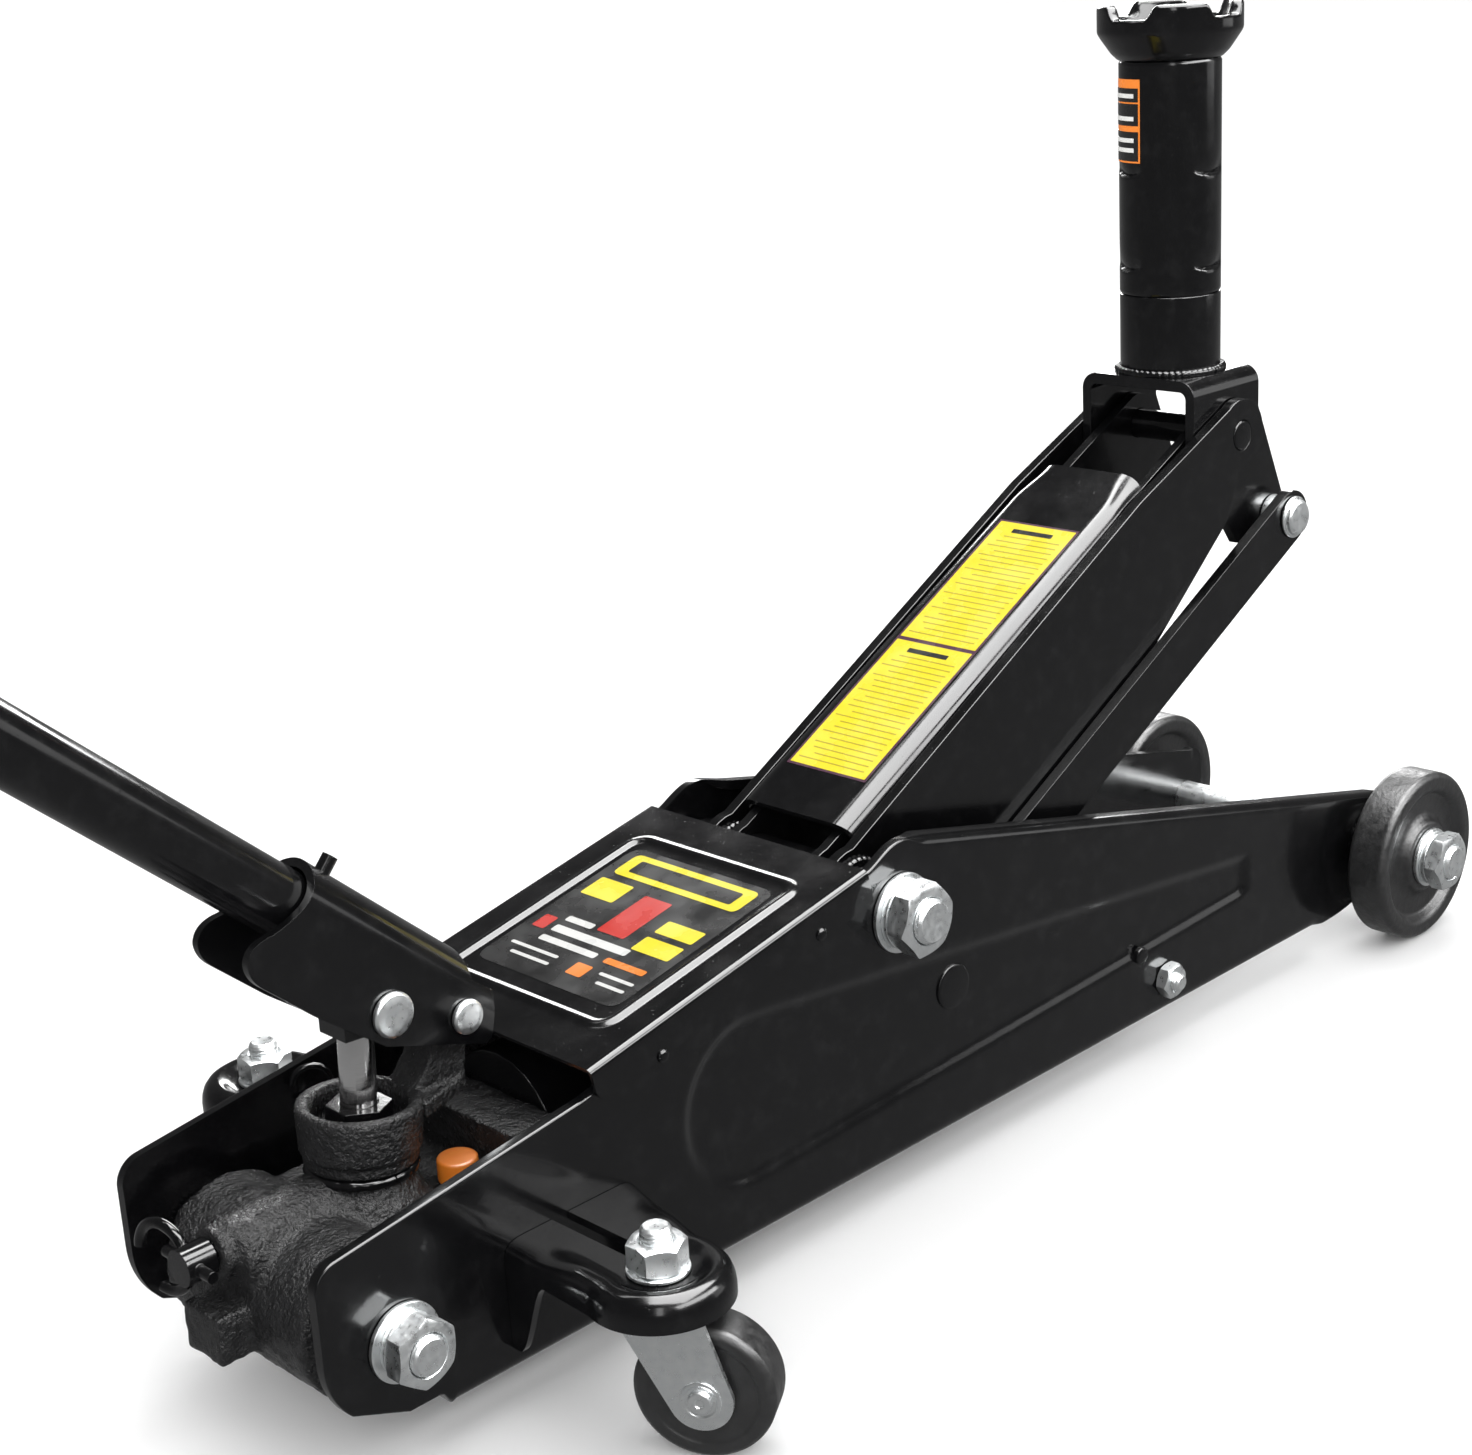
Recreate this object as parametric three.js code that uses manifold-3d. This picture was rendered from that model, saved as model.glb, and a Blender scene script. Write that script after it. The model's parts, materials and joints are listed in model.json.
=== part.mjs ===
// A hydraulic trolley jack: two pressed side plates carry a power unit, a lifting arm with its parallel
// links, a level saddle post with a lift-out extension, front wheels, rear casters and a pump handle.
// Millimetres, +Z up, +X from the pump towards the front wheels. The near side is -Y.
// The origin is at the middle of the jack's own box, on the floor.
import * as THREE from 'three';
import { mergeVertices } from 'three/addons/utils/BufferGeometryUtils.js';
import Module from 'manifold-3d';

const wasm = await Module();
wasm.setup();

// ---------------------------------------------------------------- driving dimensions
const GAP = 0.3;                    // air left between pieces that touch
const RUN = 0.15;                   // radial clearance of a turning fit
const SEG = 24;                     // facets of a pin, a hole or a wheel

const FRAME_HALF = 71;              // half the width over the side plates
const PLATE = 5;                    // side plate thickness
const PLATE_LOW = 18;               // underside of the folded lip
const REAR_LOW = 25.5;              // underside of the plain rear end
const REAR_CORNER = 38;             // radius of the rear lower corner
const REAR_TOP = 105.5;             // top of the plates at the rear corner
const LIP = 14;                     // width of the bottom lip
const FLANGE = 11;                  // width of the top flange
const FLANGE_REAR = 343;            // where the top flange starts
const FLANGE_TOP = 178;             // its height there
const FRONT_NOSE = 16.5;            // plate ahead of the axle
const FRONT_TOP = 79;               // height of the plate's front corner
const RECESS_DEEP = 2.4;            // depth of the pressed recess

const PIVOT = { x: 337.5, z: 143 }; // lifting arm shaft
const PIVOT_R = 11;
const ARM_LENGTH = 355.5;           // arm shaft to head pin
const ARM_ANGLE = 27.6;             // arm above level, as it stands
const LINK_DX = 38;                 // the links' pins, from the arm's pins
const LINK_DZ = -51.5;
const LINK_WIDTH = 29;
const LINK_THICK = 6;
const ARM_OUTER = 37.3;             // inside face of the outer arm plates
const ARM_PLATE = 6;
const ARM_INNER = 24;               // inside face of the inner arm plates
const INNER_PLATE = 5.5;
const ARM_TOP = 28;                 // top of the arm's cover above the pin line
const COVER_END = ARM_LENGTH - 72.5;  // front end of the arm's cover
const HUB_R = 17;
const LEVER = 62;                   // lever pin, from the arm shaft
const LEVER_LEAN = 7.1;             // the lever ahead of plumb, as it stands
const PIN_R = 8;

const BRACKET_HALF = 36.5;          // saddle bracket, half width
const BRACKET_WALL = 5.5;
const BRACKET_LENGTH = 60;
const BRACKET_RISE = 33.2;          // bracket's top above the head pin
const POST_BACK = 4.9;              // post axis behind the head pin
const POST_R = 26.7;
const POST_BORE = 21;
const POST_BASE = 41.5;             // height of the welded post base
const EXTENSION = 120;              // height that the extension adds
const STEM = 32;                    // how deep a stem sits in its socket
const SADDLE_R = 37.7;
const SADDLE_H = 28.2;

const AXLE = { x: 754.5, z: 49 };   // front axle; the wheels' radius is its height
const AXLE_R = 10.5;
const WHEEL_W = 24;
const WHEEL_OUT = FRAME_HALF + 32.3;  // outer face of a front wheel

const REAR_BOLT = { x: 37.5, z: 58.5, r: 9 };
const TIE = { x: 544, z: 37.3, r: 5 };

const CASTER_R = 29.5;
const CASTER = { x: 118, y: FRAME_HALF + 64 };  // swivel stud
const CASTER_TOP = 2 * CASTER_R + 19;  // top face of the caster bracket
const CASTER_TRAIL = 18;
const CASTER_TURN = 58;             // trail turned away from straight ahead, in degrees
const CASTER_W = 22;

const COVER_REAR = { x: 142.5, z: 137.3 };
const COVER_FRONT = { x: 314.2, z: 172.4 };
const COVER_SHEET = 1.8;
const COVER_SKIRT = 17;

const PUMP = { x: 77.2, z: 126.4 }; // centre of the cup's rim
const PUMP_LEAN = 4;                // pump axis leaning forward, in degrees
const CUP_R = 26.8;
const CUP_BORE = 20.5;
const PLUNGER_R = 7.8;
const FULCRUM = { x: 121.9, z: 153.5 };
const YOKE_PIN = { x: 84.6, z: 167.9 };
const HANDLE_ANGLE = 41.8;          // handle above level, as it stands
const TUBE_R = 14.3;
const SOCKET_CLEAR = 1.2;
const YOKE_SHEET = 3.8;
const YOKE_DEEP = 33.8;             // yoke cheeks below the handle's axis
const YOKE_ORIGIN = { x: 33.8, z: 238.1 };  // point on the handle's axis, near the yoke's mouth
const TUBE_END = 60;                // handle's end inside the yoke, from that point
const LOWER_TUBE = 520;
const UPPER_TUBE = 500;
const GRIP = 130;

const RAM_Z = 84;
const RAM_R = 14;
const TANK_R = 36;
const TANK_REAR = 150.3;
const TANK_FRONT = 268;
const SPRING_Y = FRAME_HALF - 19.5;
const SPRING_R = 6.5;

// ---------------------------------------------------------------- helpers
const rad = THREE.MathUtils.degToRad;

/** A closed geometry as a solid that can be joined and cut. */
function solid(geometry) {
  const plain = geometry.clone();
  plain.deleteAttribute('normal');
  plain.deleteAttribute('uv');
  const merged = mergeVertices(plain, 1e-4);
  const mesh = new wasm.Mesh({
    numProp: 3,
    vertProperties: new Float32Array(merged.attributes.position.array),
    triVerts: new Uint32Array(merged.index.array),
  });
  return new wasm.Manifold(mesh);
}

/** A solid back as a geometry. */
function geometryOf(body) {
  const mesh = body.getMesh();
  const geometry = new THREE.BufferGeometry();
  geometry.setAttribute('position', new THREE.BufferAttribute(new Float32Array(mesh.vertProperties), 3));
  geometry.setIndex(new THREE.BufferAttribute(new Uint32Array(mesh.triVerts), 1));
  return geometry;
}

/** Solids joined into one. */
const join = (first, ...others) => others.reduce((sum, body) => sum.add(body), first);

/** The first solid with the others cut from it. */
const cut = (first, ...others) => others.reduce((rest, body) => rest.subtract(body), first);

/** A box between two corners. */
function box(x0, x1, y0, y1, z0, z1) {
  const geometry = new THREE.BoxGeometry(x1 - x0, y1 - y0, z1 - z0);
  geometry.translate((x0 + x1) / 2, (y0 + y1) / 2, (z0 + z1) / 2);
  return solid(geometry);
}

/** A round bar along Y from y0 to y1 at (x, z); six facets make a nut. */
function barY(r, x, z, y0, y1, facets = SEG) {
  const geometry = new THREE.CylinderGeometry(r, r, y1 - y0, facets);
  geometry.translate(x, (y0 + y1) / 2, z);
  return solid(geometry);
}

/** A round bar along X at (y, z). */
function barX(r, y, z, x0, x1, facets = SEG) {
  const geometry = new THREE.CylinderGeometry(r, r, x1 - x0, facets);
  geometry.rotateZ(-Math.PI / 2);
  geometry.translate((x0 + x1) / 2, y, z);
  return solid(geometry);
}

/** A round bar or cone along Z at (x, y), r0 below and r1 on top. */
function barZ(r0, x, y, z0, z1, r1 = r0, facets = SEG) {
  const geometry = new THREE.CylinderGeometry(r1, r0, z1 - z0, facets);
  geometry.rotateX(Math.PI / 2);
  geometry.translate(x, y, (z0 + z1) / 2);
  return solid(geometry);
}

/** An outline in X and Z, as thick as y0 to y1. */
function slabY(shape, y0, y1, curveSegments = 10) {
  const geometry = new THREE.ExtrudeGeometry(shape, { depth: y1 - y0, bevelEnabled: false, curveSegments });
  geometry.rotateX(Math.PI / 2);
  geometry.translate(0, y1, 0);
  return solid(geometry);
}

/** An outline in X and Y, from z0 up to z1. */
function slabZ(shape, z0, z1, curveSegments = 10) {
  const geometry = new THREE.ExtrudeGeometry(shape, { depth: z1 - z0, bevelEnabled: false, curveSegments });
  geometry.translate(0, 0, z0);
  return solid(geometry);
}

/** An outline in Y and Z, from x0 to x1. */
function slabX(shape, x0, x1, curveSegments = 8) {
  const geometry = new THREE.ExtrudeGeometry(shape, { depth: x1 - x0, bevelEnabled: false, curveSegments });
  geometry.rotateX(Math.PI / 2);
  geometry.rotateZ(Math.PI / 2);
  geometry.translate(x0, 0, 0);
  return solid(geometry);
}

/** A turned solid about Z from a closed profile of [radius, height] pairs. */
function turned(profile, facets = SEG) {
  const points = profile.map(([r, z]) => new THREE.Vector2(r, z));
  const geometry = new THREE.LatheGeometry(points, facets);
  geometry.rotateX(Math.PI / 2);
  return solid(geometry);
}

/** A closed outline through points. */
function outline(points) {
  return new THREE.Shape(points.map(([a, b]) => new THREE.Vector2(a, b)));
}

/** A bar with round ends between two points, each with its own radius. */
function strap(a, ra, b, rb) {
  const along = Math.atan2(b[1] - a[1], b[0] - a[0]);
  const lean = Math.acos((ra - rb) / Math.hypot(b[0] - a[0], b[1] - a[1]));
  const shape = new THREE.Shape();
  shape.absarc(a[0], a[1], ra, along + lean, along - lean + 2 * Math.PI, false);
  shape.absarc(b[0], b[1], rb, along - lean, along + lean, false);
  return shape;
}

/** The radius of a hexagon's corners from its width over flats. */
const hexR = (flats) => flats / Math.sqrt(3);

const materials = {
  black_paint: new THREE.MeshStandardMaterial({ color: 0x0b0b0c, roughness: 0.22, metalness: 0.2 }),
  zinc: new THREE.MeshStandardMaterial({ color: 0xc9cccb, roughness: 0.32, metalness: 1 }),
  chrome: new THREE.MeshStandardMaterial({ color: 0xdadbdc, roughness: 0.12, metalness: 1 }),
  cast_iron: new THREE.MeshStandardMaterial({ color: 0x131314, roughness: 0.5, metalness: 0.3 }),
  wheel_black: new THREE.MeshStandardMaterial({ color: 0x151516, roughness: 0.6, metalness: 0.1 }),
  nylon_black: new THREE.MeshStandardMaterial({ color: 0x1a1a1b, roughness: 0.55, metalness: 0 }),
  orange_plug: new THREE.MeshStandardMaterial({ color: 0xf07c1c, roughness: 0.5, metalness: 0 }),
  spring_steel: new THREE.MeshStandardMaterial({ color: 0x2a2a2c, roughness: 0.4, metalness: 0.8 }),
  grip_rubber: new THREE.MeshStandardMaterial({ color: 0x101010, roughness: 0.8, metalness: 0 }),
};

const jack = new THREE.Group();

/** Adds one named piece to a group. */
function piece(name, body, material, parent = jack) {
  const mesh = new THREE.Mesh(geometryOf(body), materials[material]);
  mesh.name = name;
  parent.add(mesh);
  return mesh;
}

const SIDES = [['near', -1], ['far', 1]];

/** Y limits of something between a and b from the centre plane, on one side. */
const span = (side, a, b) => (side < 0 ? [-b, -a] : [a, b]);

// ---------------------------------------------------------------- side plates
const LINK_LOW = { x: PIVOT.x + LINK_DX, z: PIVOT.z + LINK_DZ };
const INSIDE = FRAME_HALF - PLATE;
const FRONT_X = AXLE.x + FRONT_NOSE;
const FLANGE_FALL = (FRONT_TOP - FLANGE_TOP) / (FRONT_X - 8 - FLANGE_REAR);
const STUB_R = 11.4;

/** The top line of the front half, at x. */
const flangeZ = (x) => FLANGE_TOP + (x - FLANGE_REAR) * FLANGE_FALL;

function plateShape() {
  const shape = new THREE.Shape();
  const low = REAR_LOW + REAR_CORNER;
  shape.moveTo(0, low);
  shape.absarc(REAR_CORNER, low, REAR_CORNER, Math.PI, 1.5 * Math.PI, false);
  shape.lineTo(55, REAR_LOW);
  shape.lineTo(60, PLATE_LOW);
  shape.lineTo(AXLE.x - 60, PLATE_LOW);
  shape.absarc(FRONT_X - 29, AXLE.z + 1, 29, -0.45 * Math.PI, 0, false);
  shape.lineTo(FRONT_X, FRONT_TOP - 9);
  shape.absarc(FRONT_X - 8, FRONT_TOP - 9, 8, 0, 0.4 * Math.PI, false);
  shape.lineTo(FLANGE_REAR + 12, flangeZ(FLANGE_REAR + 12));
  shape.quadraticCurveTo(FLANGE_REAR - 4, FLANGE_TOP + 1, FLANGE_REAR - 24, FLANGE_TOP - 8.4);
  shape.lineTo(COVER_REAR.x - 2, 123.6);
  shape.lineTo(9, REAR_TOP);
  shape.quadraticCurveTo(0, REAR_TOP - 1.5, 0, REAR_TOP - 10);
  return shape;
}

function recessShape() {
  const shape = new THREE.Shape();
  const left = { x: 236, z: 86.5, r: 42 };
  shape.absarc(left.x, left.z, left.r, 0.46 * Math.PI, 1.5 * Math.PI, false);
  shape.lineTo(616, 60);
  shape.quadraticCurveTo(622, 60.5, 622, 66);
  shape.lineTo(622, 79);
  shape.quadraticCurveTo(622, 85, 616, 85.9);
  return shape;
}

for (const [where, side] of SIDES) {
  const [y0, y1] = span(side, INSIDE, FRAME_HALF);
  const flangeY = span(side, FRAME_HALF - FLANGE, INSIDE + 1);
  const lipY = span(side, FRAME_HALF - LIP, INSIDE + 1);
  const pressY = span(side, FRAME_HALF - RECESS_DEEP, FRAME_HALF + 1);
  const flange = outline([
    [FLANGE_REAR + 12, flangeZ(FLANGE_REAR + 12)], [FLANGE_REAR + 12, flangeZ(FLANGE_REAR + 12) - PLATE],
    [FRONT_X - 14, flangeZ(FRONT_X - 14) - PLATE], [FRONT_X - 14, flangeZ(FRONT_X - 14)]]);
  const plate = join(
    slabY(plateShape(), y0, y1),
    slabY(flange, ...flangeY),
    box(60, AXLE.x - 60, ...lipY, PLATE_LOW, PLATE_LOW + PLATE));
  piece(`side_plate_${where}`, cut(plate,
    slabY(recessShape(), ...pressY),
    barY(REAR_BOLT.r + GAP, REAR_BOLT.x, REAR_BOLT.z, y0 - 1, y1 + 1),
    barY(PIVOT_R + GAP, PIVOT.x, PIVOT.z, y0 - 1, y1 + 1),
    barY(STUB_R + GAP, LINK_LOW.x, LINK_LOW.z, y0 - 1, y1 + 1),
    barY(TIE.r + GAP, TIE.x, TIE.z, y0 - 1, y1 + 1),
    barY(AXLE_R + GAP, AXLE.x, AXLE.z, y0 - 1, y1 + 1)), 'black_paint');
}

// ---------------------------------------------------------------- cover plate
const COVER_SLOPE = Math.atan2(COVER_FRONT.z - COVER_REAR.z, COVER_FRONT.x - COVER_REAR.x);
const COVER_LENGTH = Math.hypot(COVER_FRONT.z - COVER_REAR.z, COVER_FRONT.x - COVER_REAR.x);
const COVER_HALF = FRAME_HALF + GAP + COVER_SHEET;
{
  const group = new THREE.Group();
  group.position.set(COVER_REAR.x, 0, COVER_REAR.z);
  group.rotation.y = -COVER_SLOPE;
  jack.add(group);
  const skirt = new THREE.Shape();
  skirt.moveTo(0, 0);
  skirt.lineTo(0, -COVER_SKIRT + 5);
  skirt.quadraticCurveTo(1, -COVER_SKIRT, 8, -COVER_SKIRT);
  skirt.lineTo(COVER_LENGTH - 4, -COVER_SKIRT);
  skirt.quadraticCurveTo(COVER_LENGTH, -COVER_SKIRT, COVER_LENGTH, -COVER_SKIRT + 4);
  skirt.lineTo(COVER_LENGTH, 0);
  const shell = cut(
    slabY(skirt, -COVER_HALF, COVER_HALF, 5),
    box(-1, COVER_LENGTH + 1, -FRAME_HALF - GAP, FRAME_HALF + GAP, -COVER_SKIRT - 1, -COVER_SHEET));
  piece('cover_plate', shell, 'black_paint', group);
}

// ---------------------------------------------------------------- power unit
const pumpGroup = new THREE.Group();
pumpGroup.position.set(PUMP.x, 0, PUMP.z);
pumpGroup.rotation.y = rad(PUMP_LEAN);
jack.add(pumpGroup);

const CUP_DEEP = 17;                // height of the turning cup
const BARREL_R = 15;                // pump barrel that the cup turns on
const NECK_R = 19;
{
  const lean = (body) => body.rotate([0, PUMP_LEAN, 0]).translate([PUMP.x, 0, PUMP.z]);
  const casting = join(
    barY(33, REAR_BOLT.x, REAR_BOLT.z, -50, 50, 40),
    box(REAR_BOLT.x, 124, -50, 50, 26, 80),
    barY(22, REAR_BOLT.x, REAR_BOLT.z, -INSIDE + GAP, INSIDE - GAP),
    lean(barZ(BARREL_R, 0, 0, -48, -10)),
    lean(barZ(NECK_R, 0, 0, -48, -CUP_DEEP - GAP)),
    lean(barZ(34, 0, 0, -54, -27, NECK_R)),
    barX(17, 0, 84, 6, 60),
    barX(12, 0, 88, -2, 20),
    box(-10, 14, -13, 13, 44, 66),
    box(123.5, TANK_REAR - GAP, -40, 40, 40, 104));
  const valveHole = barX(5 + RUN, 0, 88, -4, 24);
  const plungerHole = lean(barZ(PLUNGER_R + RUN, 0, 0, -52, 1));
  const barHole = barY(4 + GAP, 137, 96, -42, 42);
  piece('power_unit_casting', cut(casting, valveHole, plungerHole, barHole,
    barY(REAR_BOLT.r + GAP, REAR_BOLT.x, REAR_BOLT.z, -INSIDE, -INSIDE + 26),
    barY(REAR_BOLT.r + GAP, REAR_BOLT.x, REAR_BOLT.z, INSIDE - 26, INSIDE)), 'cast_iron');
}

const RAM_BORE = RAM_R + RUN;
piece('reservoir_tube', cut(
  barX(TANK_R, 0, RAM_Z, TANK_REAR, TANK_FRONT),
  barX(RAM_BORE, 0, RAM_Z, TANK_REAR + 10, TANK_FRONT + 1)), 'black_paint');
piece('ram_gland_nut', cut(
  barX(hexR(46), 0, RAM_Z, TANK_FRONT + GAP, TANK_FRONT + 7, 6),
  barX(RAM_BORE, 0, RAM_Z, TANK_FRONT - 1, TANK_FRONT + 8)), 'black_paint');
piece('spring_anchor_bar', barY(4, 137, 96, -SPRING_Y - 6, SPRING_Y + 6, 16), 'black_paint');
piece('filler_plug', join(
  barZ(9, 112, -17, 80 + GAP, 88), barZ(9, 112, -17, 88, 92, 6)), 'orange_plug');
piece('pump_gland_nut', cut(
  barZ(hexR(25), 0, 0, -10 + GAP, -1.5, hexR(25), 6),
  barZ(PLUNGER_R + RUN, 0, 0, -12, 1)), 'black_paint', pumpGroup);

// release valve: a stem in the rear boss with a cross pin to turn it by
piece('release_valve', join(
  barX(5, 0, 88, -16, 22), barX(8, 0, 88, -16, -2 - GAP),
  barY(2.6, -11, 88, -17, 17, 16)), 'black_paint');

// ---------------------------------------------------------------- frame bolts, shaft, axle and tie rod
/** A stack at one end of a bar: washer, spring washer and nut outside y, with the bar's end. */
function nutStack(side, at, y, r, flats, washerR, nutH, extra) {
  const along = (a, b) => span(side, y + a, y + b);
  return join(
    barY(washerR, at.x, at.z, ...along(0, 2.5)),
    barY(r * 1.55, at.x, at.z, ...along(2, 6.2)),
    barY(hexR(flats), at.x, at.z, ...along(6, 6 + nutH), 6),
    barY(r, at.x, at.z, ...along(6, 6 + nutH + extra)));
}

const OUTSIDE = FRAME_HALF + GAP;
piece('arm_shaft', barY(PIVOT_R, PIVOT.x, PIVOT.z, -OUTSIDE + GAP, OUTSIDE - GAP), 'zinc');
piece('front_axle', barY(AXLE_R, AXLE.x, AXLE.z, -WHEEL_OUT, WHEEL_OUT), 'zinc');
piece('tie_rod', join(
  barY(TIE.r, TIE.x, TIE.z, -OUTSIDE - 11, OUTSIDE + 11, 20),
  barY(hexR(17), TIE.x, TIE.z, -OUTSIDE - 7, -OUTSIDE, 6),
  barY(hexR(17), TIE.x, TIE.z, OUTSIDE, OUTSIDE + 7, 6)), 'zinc');
for (const [where, side] of SIDES) {
  piece(`shaft_nut_${where}`, nutStack(side, PIVOT, OUTSIDE, PIVOT_R, 32, 19.2, 12, 3.5), 'zinc');
  const bolt = join(
    nutStack(side, REAR_BOLT, OUTSIDE, REAR_BOLT.r, 27, 17, 10.5, 2),
    barY(REAR_BOLT.r, REAR_BOLT.x, REAR_BOLT.z, ...span(side, INSIDE - 25, OUTSIDE + 1)));
  piece(`rear_bolt_${where}`, bolt, 'zinc');
  piece(`axle_nut_${where}`, nutStack(side, AXLE, WHEEL_OUT + GAP, AXLE_R - 0.5, 30, 17, 9.5, 2), 'zinc');
}

// ---------------------------------------------------------------- front wheels
for (const [where, side] of SIDES) {
  const inner = WHEEL_OUT - WHEEL_W;
  const dish = (y0, y1) => cut(
    barY(AXLE.z - 10, AXLE.x, AXLE.z, ...span(side, y0, y1)),
    barY(21, AXLE.x, AXLE.z, ...span(side, y0 - 1, y1 + 1)));
  const wheel = join(
    barY(AXLE.z, AXLE.x, AXLE.z, ...span(side, inner + 1.5, WHEEL_OUT - 1.5), 48),
    barY(AXLE.z - 1.5, AXLE.x, AXLE.z, ...span(side, inner, WHEEL_OUT), 48));
  piece(`front_wheel_${where}`, cut(wheel,
    dish(WHEEL_OUT - 6, WHEEL_OUT + 1),
    dish(inner - 1, inner + 6),
    barY(AXLE_R + RUN, AXLE.x, AXLE.z, ...span(side, inner - 1, WHEEL_OUT + 1))), 'wheel_black');
}

// ---------------------------------------------------------------- rear casters
const TRAY = 11;                    // depth of the caster bracket's rim
const TRAY_SHEET = 4;
const DOME_R = 31;
const STUD_R = 6.5;

function trayShape(side, wall) {
  const shape = new THREE.Shape();
  const y = side * CASTER.y;
  const plateY = side * OUTSIDE;
  const r = DOME_R - wall;
  const rear = 93 + wall;
  const front = 164 - wall;
  if (side < 0) {
    shape.moveTo(front, plateY);
    shape.lineTo(rear, plateY);
    shape.absarc(CASTER.x, y, r, 0.93 * Math.PI, 2.1 * Math.PI, false);
  } else {
    shape.moveTo(rear, plateY);
    shape.lineTo(front, plateY);
    shape.absarc(CASTER.x, y, r, -0.1 * Math.PI, 1.07 * Math.PI, false);
  }
  return shape;
}

for (const [where, side] of SIDES) {
  const low = CASTER_TOP - TRAY;
  const gusset = (x0, x1) => slabX(outline([
    [side * OUTSIDE, 30], [side * (OUTSIDE + 13), 36], [side * (OUTSIDE + 15), 56],
    [side * (OUTSIDE + 24), low + 1], [side * (OUTSIDE + 24), low + 5], [side * OUTSIDE, low + 5]]), x0, x1);
  const ends = side < 0 ? [-OUTSIDE - 4, -OUTSIDE + 4] : [OUTSIDE - 4, OUTSIDE + 4];
  const hollow = cut(
    slabZ(trayShape(side, TRAY_SHEET), low - 1, CASTER_TOP - TRAY_SHEET),
    box(60, 200, ...ends, 0, CASTER_TOP + 12));
  const bracket = cut(
    join(
      cut(slabZ(trayShape(side, 0), low, CASTER_TOP), hollow),
      gusset(93, 97), gusset(160, 164)),
    barZ(STUD_R + RUN, CASTER.x, side * CASTER.y, low, CASTER_TOP + 1));
  piece(`caster_bracket_${where}`, bracket, 'black_paint');

  const caster = new THREE.Group();
  caster.position.set(CASTER.x, side * CASTER.y, 0);
  caster.rotation.z = side * rad(CASTER_TURN);
  jack.add(caster);
  const crown = CASTER_TOP - TRAY_SHEET - GAP;
  const legIn = CASTER_W / 2 + 1.8;
  const legShape = new THREE.Shape();
  legShape.moveTo(20, low - GAP);
  legShape.lineTo(-17, low - GAP);
  legShape.absarc(CASTER_TRAIL, CASTER_R, 13.5, 1.15 * Math.PI, 2.05 * Math.PI, false);
  const fork = join(
    box(-17, 20, -legIn - 2.5, legIn + 2.5, low - GAP - 2.6, low - GAP),
    slabY(legShape, legIn, legIn + 2.5),
    slabY(legShape, -legIn - 2.5, -legIn),
    barZ(16, 0, 0, low - GAP - 0.5, crown),
    barZ(STUD_R, 0, 0, low, CASTER_TOP + 16.5, STUD_R, 20),
    barY(5, CASTER_TRAIL, CASTER_R, -legIn - 4, legIn + 4, 20));
  piece(`caster_fork_${where}`, fork, 'zinc', caster);
  piece(`caster_nut_${where}`, cut(
    join(
      barZ(16.5, 0, 0, CASTER_TOP + GAP, CASTER_TOP + 2.3),
      barZ(hexR(22), 0, 0, CASTER_TOP + 2, CASTER_TOP + 13, hexR(22), 6)),
    barZ(STUD_R + GAP, 0, 0, CASTER_TOP - 1, CASTER_TOP + 14, STUD_R + GAP, 20)), 'zinc', caster);
  piece(`caster_wheel_${where}`, cut(
    join(
      barY(CASTER_R, CASTER_TRAIL, CASTER_R, -CASTER_W / 2 + 3, CASTER_W / 2 - 3, 40),
      barY(CASTER_R - 2.5, CASTER_TRAIL, CASTER_R, -CASTER_W / 2, CASTER_W / 2, 40)),
    barY(5 + RUN, CASTER_TRAIL, CASTER_R, -CASTER_W, CASTER_W, 20)), 'nylon_black', caster);
}

// ---------------------------------------------------------------- lifting arm
const arm = new THREE.Group();
arm.position.set(PIVOT.x, 0, PIVOT.z);
arm.rotation.y = -rad(ARM_ANGLE);
jack.add(arm);
const HEAD = [ARM_LENGTH, 0];
const leverTurn = rad(-90 + LEVER_LEAN - ARM_ANGLE);
const LEVER_PIN = [LEVER * Math.cos(leverTurn), LEVER * Math.sin(leverTurn)];

function outerArmShape() {
  const shape = new THREE.Shape();
  shape.absarc(0, 0, 25, 0.35 * Math.PI, 1.62 * Math.PI, false);
  shape.quadraticCurveTo(90, -58, 170, -58);
  shape.lineTo(ARM_LENGTH - 120, -52);
  shape.lineTo(ARM_LENGTH - 36, -34);
  shape.quadraticCurveTo(ARM_LENGTH - 22, -28, ARM_LENGTH - 12, -15.4);
  shape.absarc(HEAD[0], HEAD[1], 19.5, -0.29 * Math.PI, 0.55 * Math.PI, false);
  shape.lineTo(COVER_END - 15, ARM_TOP - 3);
  return shape;
}

function innerArmShape() {
  const shape = new THREE.Shape();
  shape.absarc(0, 0, 23, 0.4 * Math.PI, 1.12 * Math.PI, false);
  shape.absarc(LEVER_PIN[0], LEVER_PIN[1], 14, 1.0 * Math.PI, 1.9 * Math.PI, false);
  shape.lineTo(40, -34);
  shape.lineTo(ARM_LENGTH - 40, -22);
  shape.absarc(HEAD[0], HEAD[1], 16.5, -0.45 * Math.PI, 0.5 * Math.PI, false);
  return shape;
}

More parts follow.
